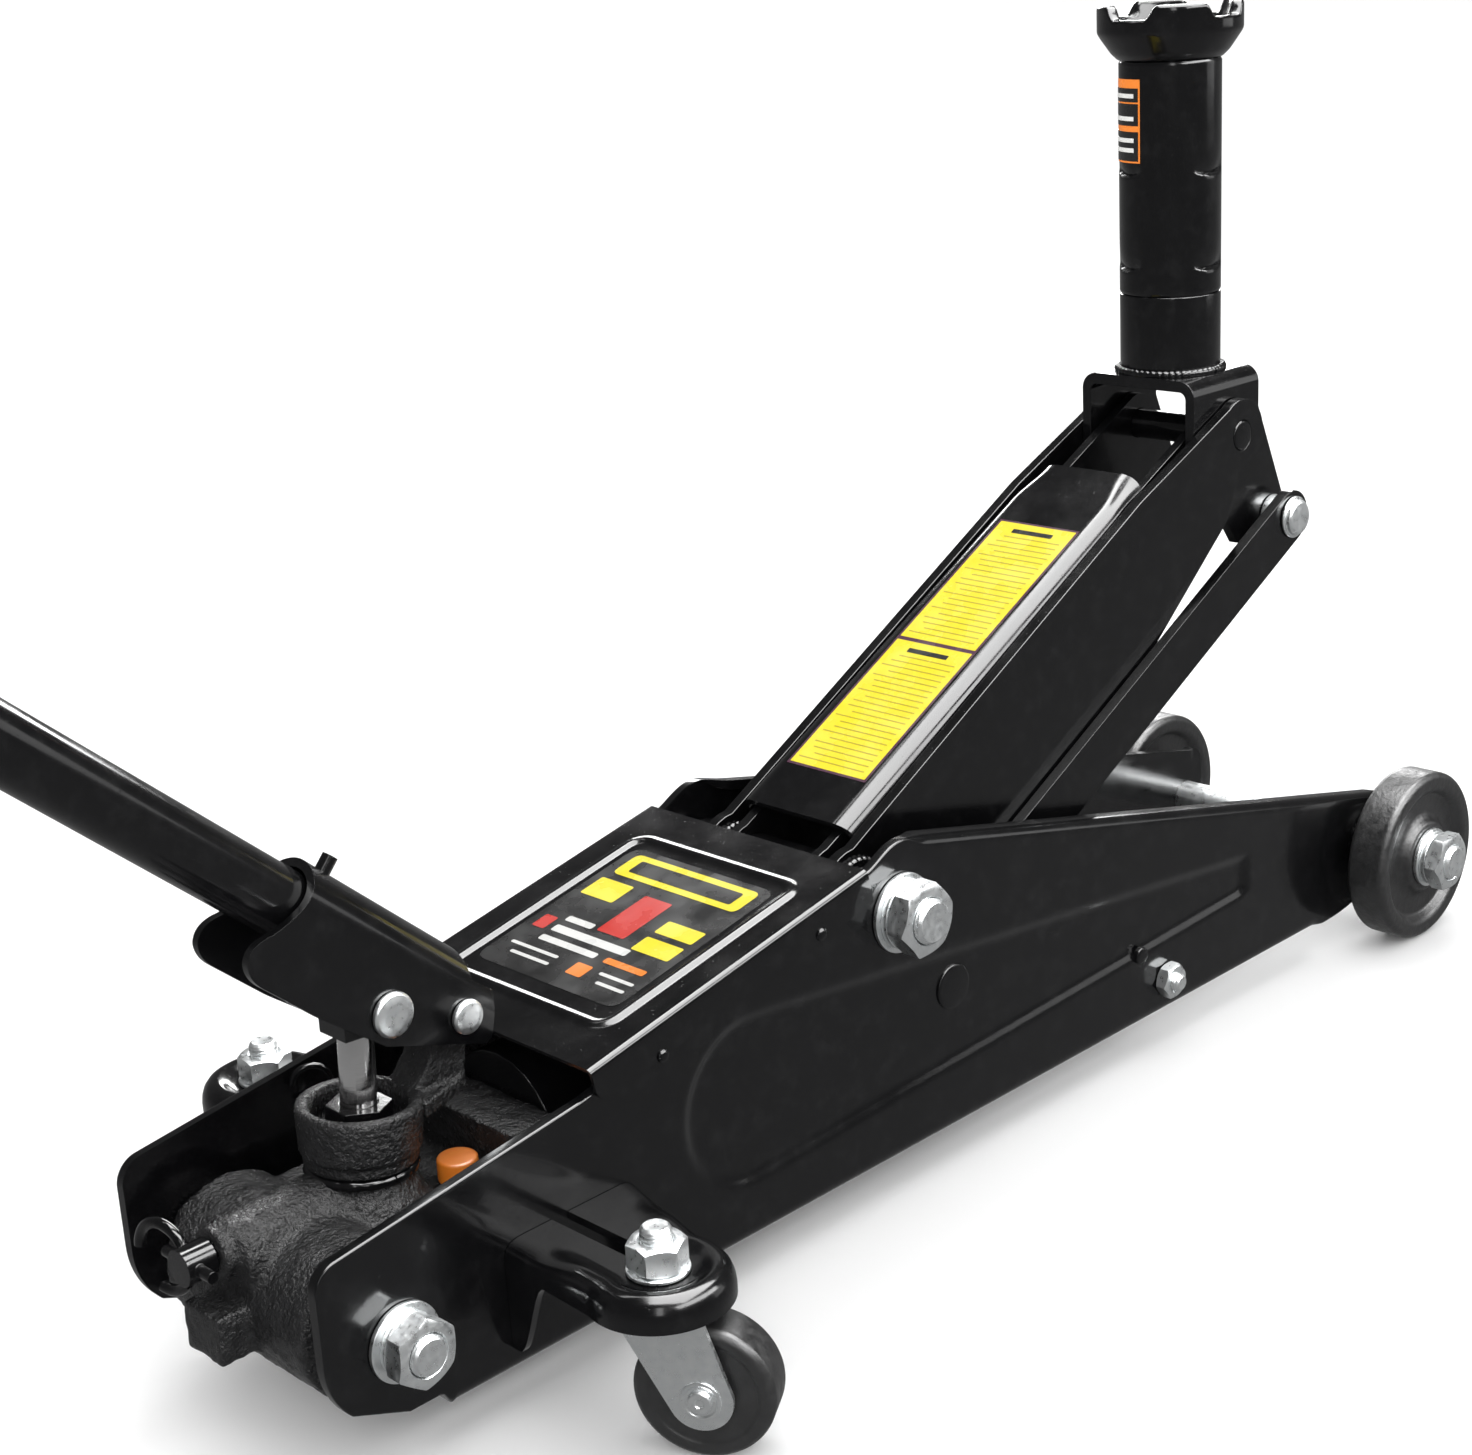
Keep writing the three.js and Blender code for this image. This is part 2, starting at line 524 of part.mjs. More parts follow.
for (const [where, side] of SIDES) {
  const outer = span(side, ARM_OUTER, ARM_OUTER + ARM_PLATE);
  const inner = span(side, ARM_INNER, ARM_INNER + INNER_PLATE);
  const through = (r, at) => barY(r, at[0], at[1], side * 44 - 30, side * 44 + 30);
  piece(`arm_plate_${where}`, cut(slabY(outerArmShape(), ...outer),
    through(HUB_R + GAP, [0, 0]), through(PIN_R + GAP, HEAD)), 'black_paint', arm);
  const innerHoles = [
    through(HUB_R + GAP, [0, 0]), through(PIN_R + GAP, HEAD), through(PIN_R + GAP, LEVER_PIN)];
  piece(`arm_inner_plate_${where}`, cut(slabY(innerArmShape(), ...inner), ...innerHoles), 'black_paint', arm);
}

{
  const half = ARM_OUTER - GAP;
  const section = (wide, top, bend, low) => {
    const shape = new THREE.Shape();
    shape.moveTo(-wide, low);
    shape.lineTo(wide, low);
    shape.lineTo(wide, top - bend);
    shape.absarc(wide - bend, top - bend, bend, 0, Math.PI / 2, false);
    shape.absarc(-wide + bend, top - bend, bend, Math.PI / 2, Math.PI, false);
    return shape;
  };
  const channel = cut(
    slabX(section(half, ARM_TOP, 9, 4), 18, COVER_END),
    slabX(section(half - 3, ARM_TOP - 3, 6, 0), 10, COVER_END + 5));
  piece('arm_cover', channel, 'black_paint', arm);
}
piece('arm_hub_tube', cut(
  barY(HUB_R, 0, 0, -60, 60), barY(PIVOT_R + RUN, 0, 0, -61, 61)), 'black_paint', arm);
const HEAD_PIN_END = ARM_OUTER + ARM_PLATE + 0.5;
piece('arm_head_pin', barY(PIN_R, HEAD[0], HEAD[1], -HEAD_PIN_END, HEAD_PIN_END), 'black_paint', arm);
piece('arm_lever_pin', barY(PIN_R, LEVER_PIN[0], LEVER_PIN[1], -ARM_OUTER + 4, ARM_OUTER - 4), 'zinc', arm);

// ---------------------------------------------------------------- ram
const leverAhead = LEVER * Math.sin(rad(LEVER_LEAN));
const CLEVIS_X = PIVOT.x + leverAhead;
const CLEVIS_HALF = 15;
const SLOT_HALF = PIN_R + 1.4;      // room for the lever pin's arc
const SPRING_BAR_X = CLEVIS_X - 19; // bar on the ram that the return springs hook over
piece('ram_rod', barX(RAM_R, 0, RAM_Z, 205, CLEVIS_X - CLEVIS_HALF - GAP), 'chrome');
piece('ram_clevis', cut(
  join(
    box(CLEVIS_X - CLEVIS_HALF, CLEVIS_X + CLEVIS_HALF, -ARM_INNER + 1, ARM_INNER - 1, 66, 106),
    box(SPRING_BAR_X - 3, CLEVIS_X - CLEVIS_HALF + 1, 17, 22, RAM_Z - 6, RAM_Z + 6),
    box(SPRING_BAR_X - 3, CLEVIS_X - CLEVIS_HALF + 1, -22, -17, RAM_Z - 6, RAM_Z + 6),
    cut(barY(3.5, SPRING_BAR_X, RAM_Z, -SPRING_Y - 6, SPRING_Y + 6, 16),
      box(SPRING_BAR_X - 9, SPRING_BAR_X + 9, -18, 18, 60, 110))),
  box(CLEVIS_X - SLOT_HALF, CLEVIS_X + SLOT_HALF, -30, 30, 72, 100)), 'cast_iron');
for (const [where, side] of SIDES) {
  const y = side * SPRING_Y;
  const spring = join(
    barX(SPRING_R, y, RAM_Z + 14, 146, CLEVIS_X - 30, 16),
    barX(2, y, RAM_Z + 14, CLEVIS_X - 34, CLEVIS_X - 22, 10));
  piece(`return_spring_${where}`, spring, 'spring_steel');
}

// ---------------------------------------------------------------- links
const armTurn = rad(ARM_ANGLE);
const HEAD_AT = { x: PIVOT.x + ARM_LENGTH * Math.cos(armTurn), z: PIVOT.z + ARM_LENGTH * Math.sin(armTurn) };
const LINK_TOP = { x: HEAD_AT.x + LINK_DX, z: HEAD_AT.z + LINK_DZ };
const LINK_IN = ARM_OUTER + ARM_PLATE + 1.2;
const LINK_OUT = LINK_IN + LINK_THICK;
for (const [where, side] of SIDES) {
  const low = [LINK_LOW.x, LINK_LOW.z];
  const top = [LINK_TOP.x, LINK_TOP.z];
  const y = span(side, LINK_IN, LINK_OUT);
  piece(`link_bar_${where}`, cut(
    slabY(strap(low, LINK_WIDTH / 2, top, LINK_WIDTH / 2), ...y),
    barY(PIN_R + GAP, ...low, y[0] - 1, y[1] + 1),
    barY(7 + GAP, ...top, y[0] - 1, y[1] + 1)), 'black_paint');
  piece(`link_stub_${where}`, join(
    barY(STUB_R, ...low, ...span(side, LINK_OUT + 1, FRAME_HALF + 0.4)),
    barY(PIN_R, ...low, ...span(side, LINK_IN - 0.5, LINK_OUT + 2))), 'black_paint');
  piece(`link_top_pin_${where}`, join(
    barY(7, ...top, ...span(side, BRACKET_HALF - BRACKET_WALL, LINK_OUT + 3)),
    barY(11, ...top, ...span(side, BRACKET_HALF + GAP, LINK_IN - GAP)),
    barY(11.5, ...top, ...span(side, LINK_OUT + GAP, LINK_OUT + 1.8)),
    barY(9.5, ...top, ...span(side, LINK_OUT + 1.5, LINK_OUT + 5.4))), 'zinc');
}

// ---------------------------------------------------------------- saddle bracket, post, extension, saddle
const POST_X = HEAD_AT.x - POST_BACK;
const BRACKET_TOP = HEAD_AT.z + BRACKET_RISE;
const lugRear = HEAD_AT.x + 6;
{
  const rear = POST_X - BRACKET_LENGTH / 2;
  const front = POST_X + BRACKET_LENGTH / 2;
  const profile = new THREE.Shape();
  profile.moveTo(rear, BRACKET_TOP + 1);
  profile.lineTo(rear, HEAD_AT.z - 14);
  profile.quadraticCurveTo(rear + 4, HEAD_AT.z - 20, rear + 12, HEAD_AT.z - 22);
  profile.lineTo(lugRear, LINK_TOP.z - 10);
  profile.absarc(LINK_TOP.x, LINK_TOP.z, 14, 1.25 * Math.PI, 2.1 * Math.PI, false);
  profile.lineTo(front, HEAD_AT.z + 11);
  profile.lineTo(front, BRACKET_TOP + 1);
  const section = (half, top, bend) => {
    const shape = new THREE.Shape();
    shape.moveTo(-half, LINK_TOP.z - 30);
    shape.lineTo(half, LINK_TOP.z - 30);
    shape.lineTo(half, top - bend);
    shape.absarc(half - bend, top - bend, bend, 0, Math.PI / 2, false);
    shape.absarc(-half + bend, top - bend, bend, Math.PI / 2, Math.PI, false);
    return slabX(shape, rear - 5, LINK_TOP.x + 30, 6);
  };
  const channel = cut(
    section(BRACKET_HALF, BRACKET_TOP, 9),
    section(BRACKET_HALF - BRACKET_WALL, BRACKET_TOP - 6, 4).translate([0, 0, -5]).add(
      section(BRACKET_HALF - BRACKET_WALL, BRACKET_TOP - 6, 4)));
  const bracket = cut(
    channel.intersect(slabY(profile, -BRACKET_HALF - 1, BRACKET_HALF + 1)),
    barY(PIN_R + GAP, HEAD_AT.x, HEAD_AT.z, -60, 60),
    barY(7 + GAP, LINK_TOP.x, LINK_TOP.z, -60, 60));
  piece('saddle_bracket', bracket, 'black_paint');
}

const BASE_TOP = BRACKET_TOP + GAP + POST_BASE;
piece('post_base', cut(
  barZ(POST_R, POST_X, 0, BRACKET_TOP + GAP, BASE_TOP),
  barZ(POST_BORE, POST_X, 0, BRACKET_TOP - 1, BASE_TOP + 1)), 'black_paint');
const EXT_LOW = BASE_TOP + GAP;
const EXT_TOP = EXT_LOW + EXTENSION;
piece('extension_tube', cut(
  join(
    barZ(POST_R, POST_X, 0, EXT_LOW, EXT_TOP),
    barZ(POST_BORE - RUN - 0.1, POST_X, 0, EXT_LOW - STEM, EXT_LOW + 5)),
  barZ(POST_BORE, POST_X, 0, EXT_TOP - STEM - 3, EXT_TOP + 1),
  barZ(14, POST_X, 0, EXT_LOW - STEM - 1, EXT_TOP)), 'black_paint');
{
  const low = EXT_TOP + GAP;
  const floor = low + 11;
  const top = low + SADDLE_H;
  const rim = top - 7;
  const stem = POST_BORE - RUN - 0.1;
  const cup = turned([
    [0, low - STEM], [stem, low - STEM], [stem, low], [POST_R, low], [SADDLE_R - 2, low + 11],
    [SADDLE_R, low + 14], [SADDLE_R, top - 2], [SADDLE_R - 2, top], [SADDLE_R - 6, top],
    [SADDLE_R - 8, floor + 2], [SADDLE_R - 10, floor], [0, floor]], 48);
  const gap = (turn) => {
    const geometry = new THREE.BoxGeometry(2 * SADDLE_R + 10, 26, 20);
    geometry.rotateZ(turn);
    geometry.translate(0, 0, rim + 10);
    return solid(geometry);
  };
  const saddle = cut(cup, gap(0), gap(Math.PI / 2)).translate([POST_X, 0, 0]);
  piece('saddle', saddle, 'black_paint');
}

// ---------------------------------------------------------------- turning cup with its fulcrum lug
/** Solids drawn upright in the jack's frame, moved into the pump's leaning group. */
const intoPump = (body) => body.translate([-PUMP.x, 0, -PUMP.z]).rotate([0, -PUMP_LEAN, 0]);
{
  const cup = turned([
    [BARREL_R + RUN, -CUP_DEEP], [21, -CUP_DEEP], [CUP_R - 1, -7], [CUP_R, -5], [CUP_R, -1],
    [CUP_R - 1, 0], [CUP_BORE + 1, 0], [CUP_BORE, -2], [CUP_BORE - 1, -11], [BARREL_R + RUN, -12],
    [BARREL_R + RUN, -CUP_DEEP]]);
  const lug = new THREE.Shape();
  lug.moveTo(99, 113);
  lug.lineTo(126, 119);
  lug.lineTo(FULCRUM.x + 9.5, FULCRUM.z);
  lug.absarc(FULCRUM.x, FULCRUM.z, 9.5, 0, 0.9 * Math.PI, false);
  lug.lineTo(108, 134);
  lug.lineTo(99, 124);
  const web = slabZ(outline([[90, -20], [99, -18], [127, -9], [127, 9], [99, 18], [90, 20]]), 115, 122);
  const fulcrum = cut(intoPump(join(web, slabY(lug, -9, 9))), barZ(CUP_BORE - 1, 0, 0, -20, 10));
  piece('pump_cup', cut(join(cup, fulcrum), intoPump(barY(5 + RUN, FULCRUM.x, FULCRUM.z, -12, 12))),
    'cast_iron', pumpGroup);
}
const CHEEK = TUBE_R + SOCKET_CLEAR + YOKE_SHEET;
piece('fulcrum_pin', join(
  barY(5, FULCRUM.x, FULCRUM.z, -CHEEK - 2, CHEEK + 2, 20),
  barY(7.7, FULCRUM.x, FULCRUM.z, -CHEEK - 4, -CHEEK - GAP, 24),
  barY(7.7, FULCRUM.x, FULCRUM.z, CHEEK + GAP, CHEEK + 4, 24)), 'zinc');

// ---------------------------------------------------------------- plunger
const YOKE_PIN_R = 4.5;
{
  const block = intoPump(cut(
    box(68, 102, -9, 9, YOKE_PIN.z - 11, YOKE_PIN.z + 11),
    box(YOKE_PIN.x - YOKE_PIN_R - 3.2, YOKE_PIN.x + YOKE_PIN_R + 10.4, -12, 12,
      YOKE_PIN.z - YOKE_PIN_R - 2, YOKE_PIN.z + YOKE_PIN_R + 2)));
  piece('plunger', join(barZ(PLUNGER_R, 0, 0, -26, 31), block), 'chrome', pumpGroup);
}

// ---------------------------------------------------------------- handle: yoke, pin and tubes
/** The handle's own frame: X along the handle towards the fulcrum, Z away from the yoke's open side. */
const handle = new THREE.Group();
handle.position.set(YOKE_ORIGIN.x, 0, YOKE_ORIGIN.z);
handle.rotation.y = rad(HANDLE_ANGLE);
jack.add(handle);
const handleCos = Math.cos(rad(HANDLE_ANGLE));
const handleSin = Math.sin(rad(HANDLE_ANGLE));
const intoHandle = (at) => {
  const dx = at.x - YOKE_ORIGIN.x;
  const dz = at.z - YOKE_ORIGIN.z;
  return [dx * handleCos - dz * handleSin, dx * handleSin + dz * handleCos];
};
const PIN_AT = intoHandle(YOKE_PIN);
const FULCRUM_AT = intoHandle(FULCRUM);
{
  const arch = (wide, low) => {
    const shape = new THREE.Shape();
    shape.moveTo(-wide, low);
    shape.lineTo(wide, low);
    shape.lineTo(wide, 0);
    shape.absarc(0, 0, wide, 0, Math.PI, false);
    return shape;
  };
  const sheet = cut(
    slabX(arch(CHEEK, -YOKE_DEEP), 0, 145, 14),
    slabX(arch(CHEEK - YOKE_SHEET, -YOKE_DEEP - 5), -5, 150, 14));
  const end = FULCRUM_AT[0];
  const side = new THREE.Shape();
  side.moveTo(21, CHEEK + 2);
  side.quadraticCurveTo(24, 4, 12, -14);
  side.quadraticCurveTo(4, -22, 8, -29);
  side.quadraticCurveTo(12, -YOKE_DEEP, 20, -YOKE_DEEP);
  side.lineTo(52, -YOKE_DEEP);
  side.lineTo(PIN_AT[0] + 6, -31);
  side.lineTo(end + 18, -10);
  side.lineTo(end + 19, -6);
  side.lineTo(end + 10, 11);
  side.lineTo(end - 3, 10);
  side.lineTo(end - 11, CHEEK + 2);
  const screw = barZ(3.4, 34, 0, CHEEK - YOKE_SHEET + 0.5, CHEEK + 7, 3.4, 16);
  const cheeks = cut(
    sheet.intersect(slabY(side, -CHEEK - 1, CHEEK + 1)),
    barY(YOKE_PIN_R + GAP, ...PIN_AT, -40, 40),
    barY(5 + GAP, ...FULCRUM_AT, -40, 40));
  piece('handle_yoke', join(cheeks, screw), 'black_paint', handle);
  piece('yoke_pin', join(
    barY(YOKE_PIN_R, ...PIN_AT, -CHEEK - 2, CHEEK + 2, 20),
    barY(9.9, ...PIN_AT, -CHEEK - 4, -CHEEK - GAP, 28),
    barY(9.9, ...PIN_AT, CHEEK + GAP, CHEEK + 4, 28)), 'zinc', handle);
  const joinX = TUBE_END - LOWER_TUBE;
  const tube = (x0, x1) => cut(barX(TUBE_R, 0, 0, x0, x1), barX(TUBE_R - 2, 0, 0, x0 - 1, x1 - 4));
  const spigot = cut(
    barX(TUBE_R - 1.8, 0, 0, joinX - 60, joinX + 6),
    barX(TUBE_R - 4.5, 0, 0, joinX - 61, joinX + 7));
  piece('handle_lower_tube', join(tube(joinX, TUBE_END - GAP), spigot), 'black_paint', handle);
  const far = joinX - GAP - UPPER_TUBE;
  piece('handle_upper_tube', cut(barX(TUBE_R, 0, 0, far, joinX - GAP),
    barX(TUBE_R - 1.5, 0, 0, far + 4, joinX + 1)), 'black_paint', handle);
  piece('handle_grip', cut(barX(TUBE_R + 3.5, 0, 0, far - 3, far + GRIP),
    barX(TUBE_R + GAP, 0, 0, far - GAP, far + GRIP + 1)), 'grip_rubber', handle);
}

// ------------------------------------------------------- origin at the middle of the box, on the floor
jack.updateMatrixWorld(true);
const bounds = new THREE.Box3().setFromObject(jack, true);
jack.position.set(-(bounds.min.x + bounds.max.x) / 2, -(bounds.min.y + bounds.max.y) / 2, -bounds.min.z);

export default jack;
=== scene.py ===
# %% [markdown]
# # A trolley jack, finished in Blender
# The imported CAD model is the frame: it holds every size, and every piece here takes its place from it.
# Pressed sheets, turned parts, castings and labels are built around that frame, then painted and plated.

# %% Load the frame
import json
import math

import bmesh
import bpy
import numpy as np
from mathutils import Matrix, Vector


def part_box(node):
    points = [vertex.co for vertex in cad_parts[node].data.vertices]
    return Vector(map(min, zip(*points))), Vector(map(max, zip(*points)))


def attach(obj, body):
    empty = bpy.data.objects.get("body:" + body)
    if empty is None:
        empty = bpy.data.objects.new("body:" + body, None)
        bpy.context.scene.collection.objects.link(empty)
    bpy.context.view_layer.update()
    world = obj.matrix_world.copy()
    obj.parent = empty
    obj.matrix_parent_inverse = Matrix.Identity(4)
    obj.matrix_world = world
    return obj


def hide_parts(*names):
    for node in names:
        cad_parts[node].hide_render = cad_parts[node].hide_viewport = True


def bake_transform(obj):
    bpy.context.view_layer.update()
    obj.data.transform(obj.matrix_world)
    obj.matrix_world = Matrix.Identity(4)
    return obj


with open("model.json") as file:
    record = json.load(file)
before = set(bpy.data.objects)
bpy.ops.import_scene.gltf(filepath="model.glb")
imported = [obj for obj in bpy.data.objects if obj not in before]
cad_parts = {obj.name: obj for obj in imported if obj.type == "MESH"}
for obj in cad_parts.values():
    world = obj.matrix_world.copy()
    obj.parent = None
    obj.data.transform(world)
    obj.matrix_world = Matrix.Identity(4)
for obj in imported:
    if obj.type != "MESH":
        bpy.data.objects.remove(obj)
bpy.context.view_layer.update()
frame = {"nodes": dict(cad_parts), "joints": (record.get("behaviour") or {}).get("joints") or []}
MM = 0.001
JOINTS = {joint["name"]: joint for joint in frame["joints"]}
NODES = frame["nodes"]


def at_joint(name):
    """The point that a hinge turns about, in metres."""
    return np.array(JOINTS[name]["pos_m"], float)


ARM = at_joint("lift_arm")
HEAD = at_joint("saddle_level")
LINK = at_joint("link_swing")
PUMP = at_joint("pump_turn")
PUMP_UP = np.array(JOINTS["pump_turn"]["axis"], float)
SADDLE = at_joint("saddle_turn")
REAR = np.array(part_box("side_plate_near")[0], float)[0]
SIDES = {"near": -1, "far": 1}

# %% [markdown]
# ## Small makers
# Almost every part of a jack is a sheet, a turned part or a bent wire. Each is a grid of points worked
# out as whole arrays, so one function closes the grid into a mesh and another puts it in the scene.

# %% Grids, turned parts and tubes


def grid(points, wrap_u=False, wrap_v=False):
    """Quads between neighbours of a (u, v) grid of points, with either direction joined round."""
    nu, nv = points.shape[:2]
    index = np.arange(nu * nv).reshape(nu, nv)
    if wrap_u:
        index = np.vstack([index, index[:1]])
    if wrap_v:
        index = np.hstack([index, index[:, :1]])
    quads = np.stack([index[:-1, :-1], index[1:, :-1], index[1:, 1:], index[:-1, 1:]], axis=-1)
    return points.reshape(-1, 3), quads.reshape(-1, 4)


def axes_for(direction):
    """Two unit vectors square to a direction, and the direction itself."""
    along = np.array(direction, float)
    along /= np.linalg.norm(along)
    other = np.array([0.0, 0.0, 1.0]) if abs(along[2]) < 0.9 else np.array([1.0, 0.0, 0.0])
    first = np.cross(other, along)
    first /= np.linalg.norm(first)
    return first, np.cross(along, first), along


def turned(profile, centre, direction, segments=72, closed=True, bump=None):
    """Centre + r(cos t, sin t) across + h along, for each [r, h] of a profile in millimetres.

    bump(t, r, h) may return a new r and h, to dent or flute the part."""
    first, second, along = axes_for(direction)
    turn = np.linspace(0, 2 * np.pi, segments, endpoint=False)[:, None]
    r, h = (np.tile(column, (segments, 1)) for column in np.array(profile, float).T)
    if bump is not None:
        r, h = bump(turn, r, h)
    ring = np.cos(turn)[..., None] * first + np.sin(turn)[..., None] * second
    points = np.array(centre) + MM * (r[..., None] * ring + h[..., None] * along)
    return grid(points, wrap_u=True, wrap_v=closed)


def rounded(corners, radius=1.0, steps=4, closed=True):
    """A profile with each corner replaced by a quadratic curve that starts a radius away from it."""
    points = np.array(corners, float)
    out = []
    for i, corner in enumerate(points):
        if not closed and i in (0, len(points) - 1):
            out.append(corner[None])
            continue
        before = points[i - 1] - corner
        after = points[(i + 1) % len(points)] - corner
        reach = [min(radius, 0.45 * np.linalg.norm(side)) for side in (before, after)]
        start = corner + before / np.linalg.norm(before) * reach[0]
        end = corner + after / np.linalg.norm(after) * reach[1]
        t = np.linspace(0, 1, steps + 1)[:, None]
        out.append((1 - t) ** 2 * start + 2 * t * (1 - t) * corner + t ** 2 * end)
    return np.vstack(out)


def tube(path, radius, segments=14, closed=False):
    """A ring of radius r square to the path at each of its points, drawn in to a point at both ends."""
    path = np.array(path, float)
    if closed:
        along = np.roll(path, -1, axis=0) - np.roll(path, 1, axis=0)
    else:
        along = np.gradient(path, axis=0)
    along /= np.linalg.norm(along, axis=1)[:, None]
    spread = np.ptp(path, axis=0)
    flat = np.eye(3)[int(np.argmin(spread))] + 0.013
    first = np.cross(along, flat)
    first /= np.linalg.norm(first, axis=1)[:, None]
    second = np.cross(along, first)
    r = np.broadcast_to(np.array(radius, float), len(path)).copy()
    if not closed:
        r[0] = r[-1] = 0
    t = np.linspace(0, 2 * np.pi, segments, endpoint=False)
    ring = np.cos(t)[None, :, None] * first[:, None] + np.sin(t)[None, :, None] * second[:, None]
    return grid(path[:, None] + r[:, None, None] * ring, wrap_u=closed, wrap_v=True)


def joined(*parts):
    """Several shells as one list of vertices and faces."""
    vertices, faces, base = [], [], 0
    for points, quads in parts:
        vertices.append(points)
        faces.append(quads + base)
        base += len(points)
    return np.vstack(vertices), np.vstack(faces)


def bead(path, radius, ripple=3.2):
    """A tube whose radius rises and falls along the seam."""
    path = np.array(path, float)
    run = np.concatenate([[0], np.cumsum(np.linalg.norm(np.diff(path, axis=0), axis=1))]) / MM
    puddle = np.abs(np.sin(np.pi * run / ripple))
    return tube(path, MM * radius * (0.86 + 0.2 * puddle), 12)


def ring_path(centre, direction, radius, turns=1.0, steps=260):
    """Centre + radius (cos t, sin t) square to a direction, for t up to a number of turns."""
    first, second, _ = axes_for(direction)
    t = np.linspace(0, 2 * np.pi * turns, steps)[:, None]
    return np.array(centre) + MM * radius * (np.cos(t) * first + np.sin(t) * second)


print("shape makers ready")

# %% Put a mesh in the scene


def settle(mesh, sharp=40):
    """Merges doubled points, points faces outwards and smooths all but the sharp edges."""
    work = bmesh.new()
    work.from_mesh(mesh)
    bmesh.ops.remove_doubles(work, verts=work.verts, dist=2e-6)
    bmesh.ops.dissolve_degenerate(work, dist=1e-6, edges=work.edges)
    bmesh.ops.recalc_face_normals(work, faces=work.faces)
    work.to_mesh(mesh)
    work.free()
    mesh.shade_smooth()
    mesh.set_sharp_from_angle(angle=math.radians(sharp))


def place(piece, body, replaces):
    """Rides a piece on a body, if it has one, and hides the CAD nodes it stands for."""
    if body:
        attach(piece, body)
    if replaces:
        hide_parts(*replaces)


def make(name, shape, body, finish, replaces=(), sharp=40):
    """A new piece from vertices and faces."""
    mesh = bpy.data.meshes.new(name)
    mesh.from_pydata(shape[0].tolist(), [], shape[1].tolist())
    settle(mesh, sharp)
    piece = bpy.data.objects.new(name, mesh)
    bpy.context.collection.objects.link(piece)
    mesh.materials.append(finish[1])
    place(piece, body, replaces)
    return piece


def dressed(node, body, finish, edge=0.8, segments=3, sharp=32):
    """A copy of a CAD node with its flat faces cleaned and its edges rounded by a bevel."""
    mesh = NODES[node].data.copy()
    mesh.materials.clear()
    work = bmesh.new()
    work.from_mesh(mesh)
    bmesh.ops.remove_doubles(work, verts=work.verts, dist=1e-5)
    bmesh.ops.dissolve_limit(work, angle_limit=math.radians(0.6), verts=work.verts, edges=work.edges)
    work.to_mesh(mesh)
    work.free()
    mesh.shade_smooth()
    piece = bpy.data.objects.new(node + "_finished", mesh)
    bpy.context.collection.objects.link(piece)
    bevel = piece.modifiers.new("edges", "BEVEL")
    bevel.width = edge * MM
    bevel.segments = segments
    bevel.limit_method = "ANGLE"
    bevel.angle_limit = math.radians(sharp)
    bevel.use_clamp_overlap = True
    normals = piece.modifiers.new("normals", "WEIGHTED_NORMAL")
    normals.keep_sharp = True
    mesh.materials.append(finish[1])
    place(piece, body, [node])
    return piece


print("scene makers ready")

# %% [markdown]
# ## Finishes
# Each finish is a short node graph on Object coordinates, so a pattern stays on its piece from every
# side. Gloss paint needs two bumps: fine orange peel, and slow waves that bend the reflections.

# %% Node helpers


class Finish:
    """A material with a Principled shader and short ways to add textures to it."""

    def __init__(self, name, colour, roughness, metallic=0.0):
        self.material = bpy.data.materials.new(name)
        self.material.use_nodes = True
        self.tree = self.material.node_tree
        self.shader = self.tree.nodes["Principled BSDF"]
        self.shader.inputs["Base Color"].default_value = (*colour, 1)
        self.shader.inputs["Roughness"].default_value = roughness
        self.shader.inputs["Metallic"].default_value = metallic
        self.coordinates = self.tree.nodes.new("ShaderNodeTexCoord").outputs["Object"]
        self.height = None

    def add(self, kind, **values):
        """A node with some of its inputs set; an underscore stands for a space in an input's name."""
        node = self.tree.nodes.new(kind)
        for key, value in values.items():
            node.inputs[key.replace("_", " ")].default_value = value
        return node

    def noise(self, scale, detail=3.0, roughness=0.5, stretch=(1, 1, 1)):
        """Noise on Object coordinates, drawn out along the axes where stretch is small."""
        mapping = self.add("ShaderNodeMapping", Scale=stretch)
        self.tree.links.new(self.coordinates, mapping.inputs["Vector"])
        node = self.add("ShaderNodeTexNoise", Scale=scale, Detail=detail, Roughness=roughness)
        self.tree.links.new(mapping.outputs["Vector"], node.inputs["Vector"])
        return node.outputs["Fac"]

    def spread(self, socket, low, high, to_low, to_high):
        """Maps low..high to to_low..to_high in a straight line."""
        node = self.tree.nodes.new("ShaderNodeMapRange")
        for key, value in (("From Min", low), ("From Max", high), ("To Min", to_low), ("To Max", to_high)):
            node.inputs[key].default_value = value
        self.tree.links.new(socket, node.inputs["Value"])
        return node.outputs["Result"]

    def tint(self, factor, first, second):
        """The base colour, mixed between two colours by a factor."""
        node = self.tree.nodes.new("ShaderNodeMix")
        node.data_type = "RGBA"
        node.inputs[6].default_value = (*first, 1)
        node.inputs[7].default_value = (*second, 1)
        self.tree.links.new(factor, node.inputs[0])
        self.tree.links.new(node.outputs[2], self.shader.inputs["Base Color"])

    def vary(self, socket_name, socket):
        """Links a varying value to one of the shader's inputs."""
        self.tree.links.new(socket, self.shader.inputs[socket_name])

    def bump(self, socket, distance, strength=1.0):
        """Adds a bump on top of those already there."""
        node = self.add("ShaderNodeBump", Distance=distance, Strength=strength)
        self.tree.links.new(socket, node.inputs["Height"])
        if self.height is not None:
            self.tree.links.new(self.height, node.inputs["Normal"])
        self.height = node.outputs["Normal"]
        self.tree.links.new(self.height, self.shader.inputs["Normal"])


print("node helpers ready")

# %% Paint, plate, castings, rubber


